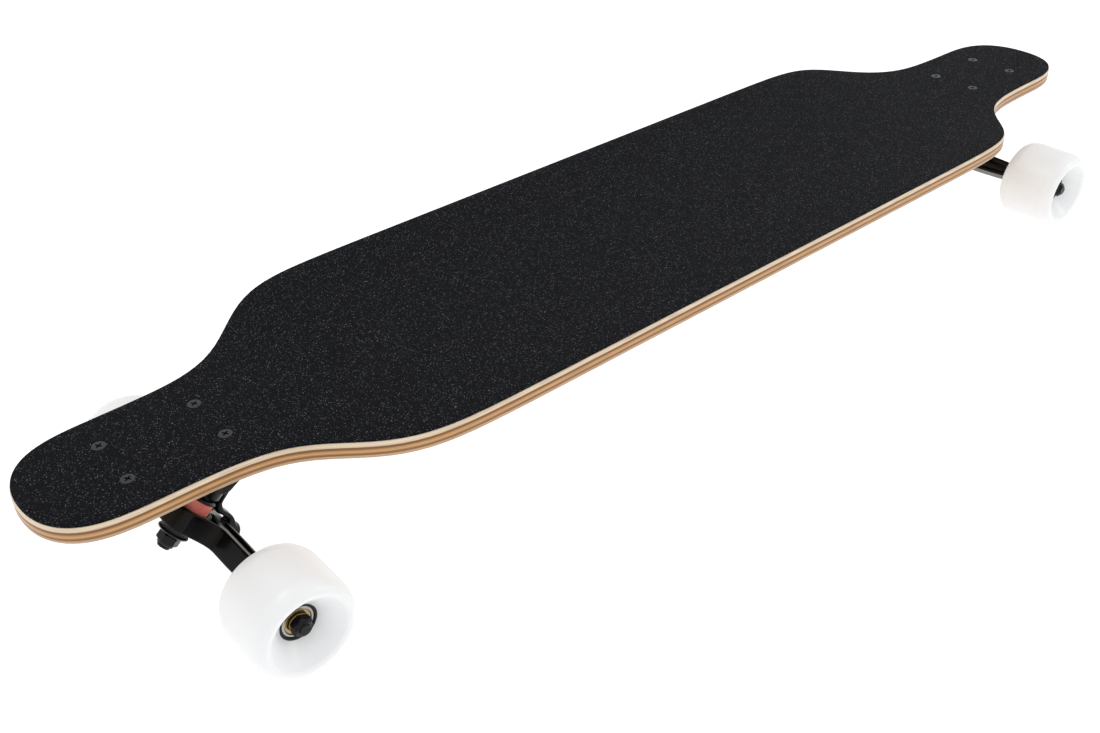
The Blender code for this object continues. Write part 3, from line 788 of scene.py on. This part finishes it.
deck_mesh = carved(
    pressed_sheet(0, DECK_TOP, THICKNESS, RAIL_RADIUS),
    cut=bolt_holes(2.7 * MM, 4.9 * MM, 3 * MM, DECK_TOP - 20 * MM),
)
deck_mesh.materials.clear()
for maple_finish in (maple_face, maple_rail):
    deck_mesh.materials.append(maple_finish)
ply_layer = deck_mesh.uv_layers["ply"]
for face in deck_mesh.polygons:
    depths = [ply_layer.uv[loop].vector.y for loop in face.loop_indices]
    face.material_index = 0 if max(depths) - min(depths) < 1e-4 else 1
piece("maple_deck", deck_mesh, None, "deck", ["deck"], crease=0)
print("deck faces:", len(deck_mesh.polygons))

# %% [markdown]
# ## Grip tape with proud grains
# The sheet is the deck's shape again, a hair smaller and just over a millimetre thick, with a hole for
# each bolt head.
# The grains that catch the light stand proud of it. Geometry Nodes scatters them over the top face only,
# each turned and sized at random from a fixed seed, and the result is kept as a plain mesh.


# %% Geometry Nodes helpers
def new_modifier_group(name, inputs):
    """A Geometry Nodes tree with a Geometry socket at each end and the named inputs given."""
    group = bpy.data.node_groups.new(name, "GeometryNodeTree")
    group.interface.new_socket(name="Geometry", in_out="INPUT", socket_type="NodeSocketGeometry")
    for label, kind in inputs:
        group.interface.new_socket(name=label, in_out="INPUT", socket_type=kind)
    group.interface.new_socket(name="Geometry", in_out="OUTPUT", socket_type="NodeSocketGeometry")
    return group, group.nodes.new("NodeGroupInput"), group.nodes.new("NodeGroupOutput")


def grown(mesh, group, values):
    """The plain mesh that a Geometry Nodes tree makes of a mesh, with its inputs set by name."""
    work = on_bench(mesh)
    modifier = work.modifiers.new(group.name, "NODES")
    modifier.node_group = group
    for socket in group.interface.items_tree:
        if socket.in_out == "INPUT" and socket.name in values:
            modifier[socket.identifier] = values[socket.name]
    return evaluated(work)


# %% Grip sheet and scattered grains
grip_mesh = carved(
    pressed_sheet(0.8 * MM, RIDE_HEIGHT, GRIP + BOND, 0.3 * MM, arc=2),
    cut=bolt_holes(4.95 * MM, 4.95 * MM, 1 * MM, RIDE_HEIGHT - 5 * MM),
)
grains_tree, group_in, group_out = new_modifier_group(
    "scattered grains",
    [("Grains per m2", FLOAT), ("Grain Size", FLOAT), ("Finish", "NodeSocketMaterial")],
)
facing = node(grains_tree, "GeometryNodeInputNormal")
facing_parts = node(grains_tree, "ShaderNodeSeparateXYZ")
upward = node(grains_tree, "FunctionNodeCompare", operation="GREATER_THAN", B=0.8)
scatter = node(grains_tree, "GeometryNodeDistributePointsOnFaces", Seed=7)
grain_shape = node(
    grains_tree, "GeometryNodeMeshCone", Vertices=3, Radius_Top=0.0, Radius_Bottom=0.5, Depth=0.55
)
turn_at_random = node(grains_tree, "FunctionNodeRandomValue", data_type="FLOAT_VECTOR", Seed=11)
turn_at_random.inputs[0].default_value = (-0.7, -0.7, 0)
turn_at_random.inputs[1].default_value = (0.7, 0.7, math.tau)
size_at_random = node(grains_tree, "FunctionNodeRandomValue", data_type="FLOAT", Seed=13)
size_at_random.inputs[2].default_value = 0.5
size_at_random.inputs[3].default_value = 1.0
size = node(grains_tree, "ShaderNodeMath", operation="MULTIPLY")
place_grains = node(grains_tree, "GeometryNodeInstanceOnPoints")
real = node(grains_tree, "GeometryNodeRealizeInstances")
paint = node(grains_tree, "GeometryNodeSetMaterial")
wire(
    grains_tree,
    (facing, "Normal", facing_parts, 0),
    (facing_parts, "Z", upward, "A"),
    (group_in, "Geometry", scatter, "Mesh"),
    (upward, "Result", scatter, "Selection"),
    (group_in, "Grains per m2", scatter, "Density"),
    (size_at_random, 1, size, 0),
    (group_in, "Grain Size", size, 1),
    (scatter, "Points", place_grains, "Points"),
    (grain_shape, "Mesh", place_grains, "Instance"),
    (turn_at_random, 0, place_grains, "Rotation"),
    (size, 0, place_grains, "Scale"),
    (place_grains, "Instances", real, "Geometry"),
    (real, "Geometry", paint, "Geometry"),
    (group_in, "Finish", paint, "Material"),
    (paint, "Geometry", group_out, "Geometry"),
)
grain_values = {"Grains per m2": 150000.0, "Grain Size": 0.5 * MM, "Finish": grit}
grain_mesh = grown(grip_mesh.copy(), grains_tree, grain_values)
piece("grip_sheet", grip_mesh, grit, "deck", ["grip_tape"], crease=50)
piece("grip_grains", grain_mesh, grit, "deck", ["grip_tape"], crease=0)
grain_mesh.shade_flat()
print("grains:", len(grain_mesh.polygons) // 4)

# %% [markdown]
# ## Threads, nuts and bolts
# A thread is a rod whose radius rises and falls with height and with the turn, so its crest climbs one
# pitch in one turn. A nut is a hexagon cut by a cone at both ends, with a round collar that holds a nylon
# ring. Bolts and nuts come four to a truck, so one of each is made at the origin, and Geometry Nodes
# puts it at the corners of a rectangle on both trucks.


# %% Thread, hexagon and lock nut
NUT_CHAMFER = 0.9 * MM


def threaded(radius, low, high, pitch, sides=36, steps=6):
    """A threaded rod along Z, with tapered ends."""
    bm = bmesh.new()
    depth = 0.3 * pitch
    rows = []
    count = max(2, round((high - low) / pitch * steps))
    for i in range(count + 1):
        z = low + (high - low) * i / count
        taper = max(0.0, 1 - min(i, count - i) / steps) * 1.6 * depth
        row = []
        for j in range(sides):
            angle = math.tau * j / sides
            crest = 0.5 + 0.5 * math.cos(math.tau * z / pitch - angle)
            reach = min(radius - taper, radius - depth * (1 - crest))
            row.append(bm.verts.new((reach * math.cos(angle), reach * math.sin(angle), z)))
        rows.append(row)
    for row, following in zip(rows, rows[1:]):
        belt(bm, row, following)
    bm.faces.new(rows[0])
    bm.faces.new(rows[-1])
    return finished_mesh(bm, "thread")


def hexagon(corner_radius, low, high, bore=0.0):
    """A hexagonal prism whose corners are turned off at both ends."""
    angles = [math.tau * (k + 0.5) / 6 for k in range(6)]
    corners = [(corner_radius * math.cos(a), corner_radius * math.sin(a), 0.2 * MM) for a in angles]
    drop = NUT_CHAMFER * 0.55
    flat, wide = corner_radius - NUT_CHAMFER, corner_radius + 0.3 * MM
    profile = [(0, low), (flat, low), (wide, low + drop), (wide, high - drop), (flat, high), (0, high)]
    envelope = turned(profile, 72, closed=False)
    cutters = [rod(bore, low - 5 * MM, high + 5 * MM)] if bore else []
    return carved(raised(corners, low - 1 * MM, high + 1 * MM, 3), keep=[envelope], cut=cutters)


def lock_nut(corner_radius, height, bore, steel):
    """A nylon lock nut from z 0 up to its height, with its collar at the top."""
    flat_radius = corner_radius * math.cos(math.pi / 6)
    body = painted(hexagon(corner_radius, 0, height * 0.72, bore), steel)
    collar = turned(
        [
            (bore + 0.9 * MM, height * 0.6),
            (bore + 0.9 * MM, height, 0.2 * MM),
            (flat_radius - 1.4 * MM, height, 0.8 * MM),
            (flat_radius - 0.4 * MM, height * 0.7, 0.3 * MM),
            (flat_radius - 0.4 * MM, height * 0.6),
        ]
    )
    ring = turned(
        [
            (bore - 0.1 * MM, height * 0.65),
            (bore - 0.1 * MM, height - 0.35 * MM, 0.2 * MM),
            (bore + 1 * MM, height - 0.25 * MM, 0.2 * MM),
            (bore + 1 * MM, height * 0.65),
        ]
    )
    return merged(body, painted(collar, steel), painted(ring, nylon))


print("nut chamfer", round(NUT_CHAMFER / MM, 1), "mm")

# %% Bolt pattern tree
pattern_tree, group_in, group_out = new_modifier_group(
    "bolt pattern",
    [("Truck Spacing", FLOAT), ("Bolt Spacing Along", FLOAT), ("Bolt Spacing Across", FLOAT)],
)
rectangle = node(pattern_tree, "GeometryNodeMeshGrid", Vertices_X=2, Vertices_Y=2)
at_corners = node(pattern_tree, "GeometryNodeInstanceOnPoints")
half_spacing = node(pattern_tree, "ShaderNodeMath", operation="MULTIPLY")
half_spacing.inputs[1].default_value = -0.5
first_place = node(pattern_tree, "ShaderNodeCombineXYZ")
step_along = node(pattern_tree, "ShaderNodeCombineXYZ")
truck_places = node(pattern_tree, "GeometryNodeMeshLine", Count=2)
at_trucks = node(pattern_tree, "GeometryNodeInstanceOnPoints")
real = node(pattern_tree, "GeometryNodeRealizeInstances")
wire(
    pattern_tree,
    (group_in, "Bolt Spacing Along", rectangle, "Size X"),
    (group_in, "Bolt Spacing Across", rectangle, "Size Y"),
    (rectangle, "Mesh", at_corners, "Points"),
    (group_in, "Geometry", at_corners, "Instance"),
    (group_in, "Truck Spacing", half_spacing, 0),
    (half_spacing, 0, first_place, "X"),
    (group_in, "Truck Spacing", step_along, "X"),
    (first_place, 0, truck_places, "Start Location"),
    (step_along, 0, truck_places, "Offset"),
    (truck_places, "Mesh", at_trucks, "Points"),
    (at_corners, "Instances", at_trucks, "Instance"),
    (at_trucks, "Instances", real, "Geometry"),
    (real, "Geometry", group_out, "Geometry"),
)
bolt_places = [TRUCK["front"].inverted() @ middle(f"front_deck_bolt_{number}") for number in BOLT_NUMBERS]
PATTERN = {
    "Truck Spacing": (TRUCK["front"].translation - TRUCK["rear"].translation).length,
    "Bolt Spacing Along": 2 * max(place.x for place in bolt_places),
    "Bolt Spacing Across": 2 * max(place.y for place in bolt_places),
}
print({name: round(value / MM, 1) for name, value in PATTERN.items()})

# %% Deck bolts and their lock nuts
BOLT_RADIUS, HEAD_RADIUS = 2.4 * MM, 4.7 * MM
bolt_low, bolt_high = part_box("front_deck_bolt_1")
nut_low, nut_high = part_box("front_lock_nut_1")
head = turned(
    [
        (0, bolt_high.z),
        (HEAD_RADIUS - 0.3 * MM, bolt_high.z, 0.2 * MM),
        (HEAD_RADIUS, bolt_high.z - 0.5 * MM, 0.2 * MM),
        (BOLT_RADIUS, bolt_high.z - 2.9 * MM, 0.3 * MM),
        (BOLT_RADIUS, bolt_high.z - 10 * MM),
        (0, bolt_high.z - 10 * MM),
    ],
    56,
    closed=False,
)
RECESS_TURN = Matrix.Rotation(math.radians(31), 4, "Z")
recess = []
for x, y in ((2.5, 0.62), (0.62, 2.5)):
    arm = mm([(-x, -y, 0.4), (x, -y, 0.4), (x, y, 0.4), (-x, y, 0.4)])
    recess.append(moved(raised(arm, bolt_high.z - 1.9 * MM, bolt_high.z + 1 * MM), RECESS_TURN))
shank = threaded(BOLT_RADIUS, bolt_low.z, bolt_high.z - 9 * MM, 0.8 * MM, 28)
bolt = painted(merged(carved(head, cut=recess), shank), bolt_black)
nut = lock_nut(4.6 * MM, nut_high.z - nut_low.z, BOLT_RADIUS, blackened_steel)
moved(nut, Matrix.Translation((0, 0, nut_high.z + 0.25 * MM)) @ UPSIDE_DOWN)
for name, mesh, kind in (("deck_bolts", bolt, "deck_bolt"), ("deck_lock_nuts", nut, "lock_nut")):
    fixings = piece(name, grown(mesh, pattern_tree, PATTERN), None, "deck", every(kind))
    print(name, "faces:", len(fixings.data.polygons))

# %% [markdown]
# ## Truck castings
# A baseplate is a bolted plate with a boss that holds the kingpin at its angle and an arm that carries the
# pivot cup. A hanger is a barrel for the axle, a ring seat for the two bushings, and two thin walls from
# the ring out along the barrel, with a nose that sits in the pivot cup. Each is modelled from plain
# solids and then cast. The baseplate is drawn in the truck's own frame, with its slanted parts in the
# kingpin frame, and the hanger in the kingpin frame. Each is made once and placed twice, because the rear
# truck is the front one turned round.

# %% Baseplate casting
DECK_BOTTOM = DECK_TOP - THICKNESS
PLATE_BOTTOM = DECK_BOTTOM - 6.8 * MM
BASEPLATE_SKIN, HANGER_SKIN = 0.65 * MM, 0.62 * MM  # voxel sizes
FETTLING = 5  # rounds of smoothing
CAST_FINISH = (powder_coat, "black_casting")


def standing(outline, thickness):
    """An outline in XZ as a plate about the XZ plane."""
    return moved(raised(outline, -thickness / 2, thickness / 2), UPRIGHT)


plate = raised(mm([(-53, -28, 9), (42, -28, 9), (42, 28, 9), (-53, 28, 9)]), PLATE_BOTTOM, DECK_BOTTOM)
wedge = standing(mm([(-52, 97), (-45, 71, 4), (-27, 60, 5), (-16, 70, 6), (16, 97)]), 24 * MM)
limb_outline = mm(
    [(-8, 26), (-13.8, 22), (-14.2, 14, 2), (-17, 10.2, 2), (-30.4, 9.8), (-31.2, 4), (-40, 4)]
    + [(-38.5, 7.6, 2), (-31.5, 12.4, 3), (-21, 13.6, 4), (-16.9, 17.5, 2), (-15.6, 36), (-8, 36)]
)
limb = moved(standing(limb_outline, 9 * MM), KINGPIN)
boss = moved(rod(12.5 * MM, 18.2 * MM, 46 * MM, edge=1 * MM), KINGPIN)
housing = moved(rod(8.1 * MM, -42.8 * MM, -31 * MM, edge=1.2 * MM), KINGPIN @ ALONG_AXIS)
gusset_outline = mm([(-30, -1.5), (20, -1.5), (20, 1.5), (-30, 1.5)])
gussets = []
for side in (-1, 1):
    gusset = raised(gusset_outline, PLATE_BOTTOM - 3.5 * MM, DECK_BOTTOM)
    gussets.append(moved(gusset, Matrix.Translation((0, side * 15 * MM, 0))))
above_plate = raised(mm([(-90, -60), (90, -60), (90, 60), (-90, 60)]), DECK_BOTTOM, DECK_BOTTOM + 60 * MM)
kingpin_hole = moved(rod(5.2 * MM, 10 * MM, 46 * MM), KINGPIN)
kingpin_head_room = moved(rod(8.6 * MM, 43.2 * MM, 49.4 * MM), KINGPIN)
pivot_hole = moved(rod(6.7 * MM, -41 * MM, -20 * MM), KINGPIN @ ALONG_AXIS)
plate_holes = []
for place in bolt_places:
    hole = rod(2.8 * MM, PLATE_BOTTOM - 20 * MM, DECK_BOTTOM + 9 * MM)
    plate_holes.append(moved(hole, Matrix.Translation((place.x, place.y, 0))))
baseplate_solid = carved(
    plate,
    add=[boss, wedge, limb, housing] + gussets,
    cut=[above_plate, kingpin_hole, kingpin_head_room, pivot_hole] + plate_holes,
)
baseplate_mesh = cast(baseplate_solid, BASEPLATE_SKIN, FETTLING)
for truck in TRUCKS:
    as_drawn = Matrix.Identity(4)
    on_truck(truck, "baseplate_casting", baseplate_mesh, as_drawn, *CAST_FINISH, "deck", "baseplate", 0)
print("baseplate faces:", len(baseplate_mesh.polygons))

# %% [markdown]
# The hanger's walls are thin and its corners catch light, so its windows are cut before casting: two on
# each side, one beside the ring and one along the barrel. They are open on the face towards the deck, and
# the web under them closes the other.

# %% Hanger casting
HANGER_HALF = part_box("front_hanger")[1].y
SEAT = 7.8 * MM  # half the height of the ring and the walls
ON_AXLE = Matrix.Translation(AXLE) @ ALONG_AXLE


def mirrored(half):
    """The points of an outline as seen in a mirror across Y, in the order that goes round the same way."""
    return [(x, -y, *radius) for x, y, *radius in reversed(half)]


hanger_side = [(15, 0), (14, 10, 4), (9, 16, 4), (-2, 17.5, 6), (-12.4, 23, 5), (-13, 50, 10), (-14.5, 84, 1)]
hanger_side += [(-26.3, 84, 1), (-28.5, 60, 10), (-30, 26, 10), (-28.5, 9, 4), (-28.5, 0)]
far_side = [point for point in mirrored(hanger_side) if point[1]]
ring_window = [(-8, 3, 1.5), (-2, 14.5, 1), (-11.7, 19.8, 1.5), (-18, 3, 1.5)]
wall_window = [(-21.8, 5, 1.5), (-15.6, 24, 4), (-16, 48, 6), (-17.5, 66, 3), (-24.5, 66, 3), (-26.8, 27, 6)]
wall_window += [(-25.6, 9, 3)]
windows = []
for window in (ring_window, wall_window):
    for outline in (window, mirrored(window)):
        windows.append(raised(mm(outline), 0, 20 * MM))
nose = turned(
    mm([(0, -22), (8, -22), (8, -26, 1.5), (6.2, -29, 1), (4.3, -30.4, 1.5)])
    + mm([(4.3, -36.5, 2), (2, -38.5, 1), (0, -38.5)]),
    closed=False,
)
hanger_solid = carved(raised(mm(hanger_side + far_side), -SEAT, SEAT), cut=windows)
hanger_solid = carved(
    hanger_solid,
    add=[
        moved(rod(6.8 * MM, -HANGER_HALF, HANGER_HALF, edge=1.2 * MM), ON_AXLE),
        rod(15.5 * MM, -SEAT, SEAT, edge=1 * MM),
        moved(nose, ALONG_AXIS),
    ],
)
hanger_solid = carved(
    hanger_solid,
    cut=[
        rod(13.2 * MM, 3 * MM, 12 * MM),
        rod(13.2 * MM, -12 * MM, -3 * MM),
        rod(8.5 * MM, -20 * MM, 20 * MM),
        moved(rod(4.2 * MM, -1, 1), ON_AXLE),
    ],
)
hanger_mesh = cast(hanger_solid, HANGER_SKIN, FETTLING)
for truck in TRUCKS:
    body = f"{truck}_hanger"
    on_truck(truck, "hanger_casting", hanger_mesh, KINGPIN, *CAST_FINISH, body, "hanger", 0)
print("hanger faces:", len(hanger_mesh.polygons))

# %% [markdown]
# ## Kingpin, bushings and pivot cup
# The kingpin runs through both bushings, with a cupped washer at each end, and its lock nut sets how hard
# they are squeezed. The bushings bend when the truck steers: one end stays with the deck and the other with
# the hanger. The pivot cup is a small urethane thimble in the baseplate that lets the nose turn.


# %% Kingpin parts
KINGPIN_RADIUS = 4.75 * MM
WASHER_BORE = 5.2 * MM
COARSE_PITCH = 1.06 * MM


def cupped_washer(radius, low, high, lip):
    """A pressed washer, flat in the middle, whose rim turns towards the bushing by lip."""
    thickness = abs(high - low) * 0.62
    near, far = (low, low + thickness) if lip < 0 else (high, high - thickness)
    return turned(
        [
            (WASHER_BORE, near),
            (radius - 2.2 * MM, near, 1.2 * MM),
            (radius - 0.2 * MM, near + lip, 0.3 * MM),
            (radius, far + lip * 1.2, 0.3 * MM),
            (radius - 1.6 * MM, far, 1.2 * MM),
            (WASHER_BORE, far),
        ],
        72,
    )


kingpin_bolt = merged(
    carved(hexagon(8.2 * MM, 43.5 * MM, 49 * MM), cut=[rod(6.4 * MM, 48.6 * MM, 52 * MM)]),
    rod(KINGPIN_RADIUS, -12 * MM, 44 * MM),
    threaded(KINGPIN_RADIUS, -24.4 * MM, -11.5 * MM, COARSE_PITCH),
)
kingpin_nut = lock_nut(7.9 * MM, 7.2 * MM, KINGPIN_RADIUS, blackened_steel)
moved(kingpin_nut, Matrix.Translation((0, 0, -15.2 * MM)) @ UPSIDE_DOWN)
boardside_cup = cupped_washer(12.8 * MM, 16.1 * MM, 17.9 * MM, -1.5 * MM)
roadside_cup = cupped_washer(11 * MM, -14.9 * MM, -13.1 * MM, 1.1 * MM)
thimble_profile = [(6.6, -31.4), (6.6, -40.6, 1), (0, -40.6), (0, -38.7), (4.5, -38.7, 1), (4.6, -31.4, 0.8)]
pivot_thimble = moved(turned(mm(thimble_profile), 48), ALONG_AXIS)
kingpin_parts = [
    ("kingpin_bolt", kingpin_bolt, blackened_steel, "black_steel", "kingpin"),
    ("kingpin_lock_nut", kingpin_nut, None, "black_steel", "kingpin_nut"),
    ("boardside_cup", boardside_cup, blackened_steel, "black_steel", "boardside_washer"),
    ("roadside_cup", roadside_cup, blackened_steel, "black_steel", "roadside_washer"),
    ("pivot_thimble", pivot_thimble, black_urethane, "black_urethane", "pivot_cup"),
]
for truck in TRUCKS:
    for name, mesh, material, slot, stands_for in kingpin_parts:
        on_truck(truck, name, mesh, KINGPIN, material, slot, "deck", stands_for)
print("kingpin parts:", ", ".join(name for name, *_ in kingpin_parts))


# %% Bushings
def bushing(name, material, slot, profile):
    """A urethane ring between hanger and washer, with its upright sides divided along their height."""
    mesh = turned(mm(profile), 72, steps=5)
    bm = bmesh.new()
    bm.from_mesh(mesh)
    upright = [edge for edge in bm.edges if abs(edge.verts[0].co.z - edge.verts[1].co.z) > 2 * MM]
    bmesh.ops.subdivide_edges(bm, edges=upright, cuts=7, use_grid_fill=True)
    bm.to_mesh(mesh)
    bm.free()
    for truck in TRUCKS:
        made = on_truck(truck, name, mesh, KINGPIN, material, slot, None, name)
        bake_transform(made)


boardside = [(5.1, 3.2), (12, 3.2, 0.6), (12.3, 9.5, 6), (12, 16, 1.2), (5.1, 16)]
roadside = [(5.1, -13.0), (9.5, -13.0, 1), (12, -3.4, 1), (5.1, -3.4)]
bushing("boardside_bushing", rose_urethane, "pink_urethane", boardside)
bushing("roadside_bushing", black_urethane, "black_urethane", roadside)

# %% [markdown]
# ## Axles and wheels
# The axle is a steel rod cast into the hanger, threaded at both ends. Each wheel is a white urethane tyre
# poured on a black core that holds two bearings. Outside the outer bearing come a speed ring and the lock
# nut. The races, the spacer and the speed rings stay still with the axle, while the tyre, the core, the
# outer races and the shields turn, so they ride on different bodies.

# %% Axles
AXLE_RADIUS = 4 * MM
axle_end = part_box("front_axle")[1].y
thread_from = axle_end - 12.4 * MM
axle_mesh = merged(
    rod(AXLE_RADIUS, -(axle_end - 12 * MM), axle_end - 12 * MM, edge=0.2 * MM),
    threaded(AXLE_RADIUS, thread_from, axle_end, COARSE_PITCH, 48),
    threaded(AXLE_RADIUS, -axle_end, -thread_from, COARSE_PITCH, 48),
)
for truck in TRUCKS:
    body = f"{truck}_hanger"
    on_truck(truck, "axle_rod", axle_mesh, KINGPIN @ ON_AXLE, blackened_steel, "black_steel", body, "axle")
print("axle", round(2 * axle_end / MM), "mm long")

# %% Wheel parts
TYRE = mm(
    [(12.8, -12.4), (12.8, -12.7, 0.2), (26, -26, 1.2), (29, -27, 1.2), (32.5, -24.7, 2), (35, -18.2, 3)]
    + [(35, 18.2, 3), (32.5, 24.7, 2), (29, 27, 1.2), (26, 26, 1.2), (12.8, 12.5, 0.2), (12.8, 12.2)]
)
CORE = mm(
    [(8.5, -4.8), (8.5, 4.6), (11.2, 4.6), (11.2, 12.4, 0.3), (11.6, 12.7, 0.3), (12.7, 12.7, 0.3)]
    + [(12.9, 12.2), (12.9, -12.4), (12.7, -12.9, 0.3), (11.6, -12.9, 0.3), (11.2, -12.6, 0.3), (11.2, -4.8)]
)


def bearing(face, inward):
    """The turning parts of a bearing whose outside face is at face: its outer race and its shield."""

    def at(radius, depth, *rounding):
        return (radius, face + inward * depth, *rounding)

    race = turned(
        [at(9.3 * MM, 0), at(11 * MM, 0, 0.5 * MM), at(11 * MM, 7 * MM, 0.5 * MM), at(9.3 * MM, 7 * MM)],
        96,
    )
    shield = turned(
        [at(6.6 * MM, 0.7 * MM), at(6.9 * MM, 0.35 * MM, 0.2 * MM), at(8.7 * MM, 0.3 * MM, 0.3 * MM)]
        + [at(9.25 * MM, 0.75 * MM, 0.2 * MM), at(9.35 * MM, 1.4 * MM), at(6.6 * MM, 1.4 * MM)],
        96,
    )
    return merged(painted(race, ground_steel), painted(shield, gilt_steel))


FACE_OUT, FACE_IN = 11.9 * MM, -12.1 * MM
inner_races = turned(
    mm([(4.2, -12.1), (6, -12.1, 0.4), (6, -5.1, 0.4), (5.2, -5.1)])
    + mm([(5.2, 4.9), (6, 4.9, 0.4), (6, 11.9, 0.4), (4.2, 11.9)]),
    64,
)
sleeve_parts = [painted(inner_races, ground_steel)]
for low in (-13.4, 11.95):
    speed_ring = turned(mm([(4.2, low), (6.6, low, 0.3), (6.6, low + 1.3, 0.3), (4.2, low + 1.3)]), 64)
    sleeve_parts.append(painted(speed_ring, gilt_steel))
axle_nut = lock_nut(7.3 * MM, 6.5 * MM, AXLE_RADIUS, blackened_steel)
moved(axle_nut, Matrix.Translation((0, 0, 13.6 * MM)))
turning_parts = [
    ("tyre", turned(TYRE, 128, steps=6), white_urethane, "white_urethane", "wheel"),
    ("core", turned(CORE, 96), core_plastic, "black_urethane", "wheel"),
    ("inboard_races", bearing(FACE_IN, 1), None, "bearing_steel", "inboard_bearing"),
    ("outboard_races", bearing(FACE_OUT, -1), None, "bearing_steel", "outboard_bearing"),
]
still_parts = [
    ("sleeve", merged(*sleeve_parts), None, "zinc_steel", "bearing_sleeve"),
    ("lock_nut", axle_nut, None, "black_steel", "axle_nut"),
]
for (truck, hand), place in WHEEL.items():
    corner = f"{truck}_{hand}"
    for parts, body in ((turning_parts, f"{corner}_wheel"), (still_parts, f"{truck}_hanger")):
        for name, mesh, material, slot, stands_for in parts:
            placed = moved(mesh.copy(), place)
            piece(f"{corner}_{name}", placed, material, body, [f"{corner}_{stands_for}"])
print("wheels:", len(WHEEL), "with", len(turning_parts + still_parts), "pieces each")
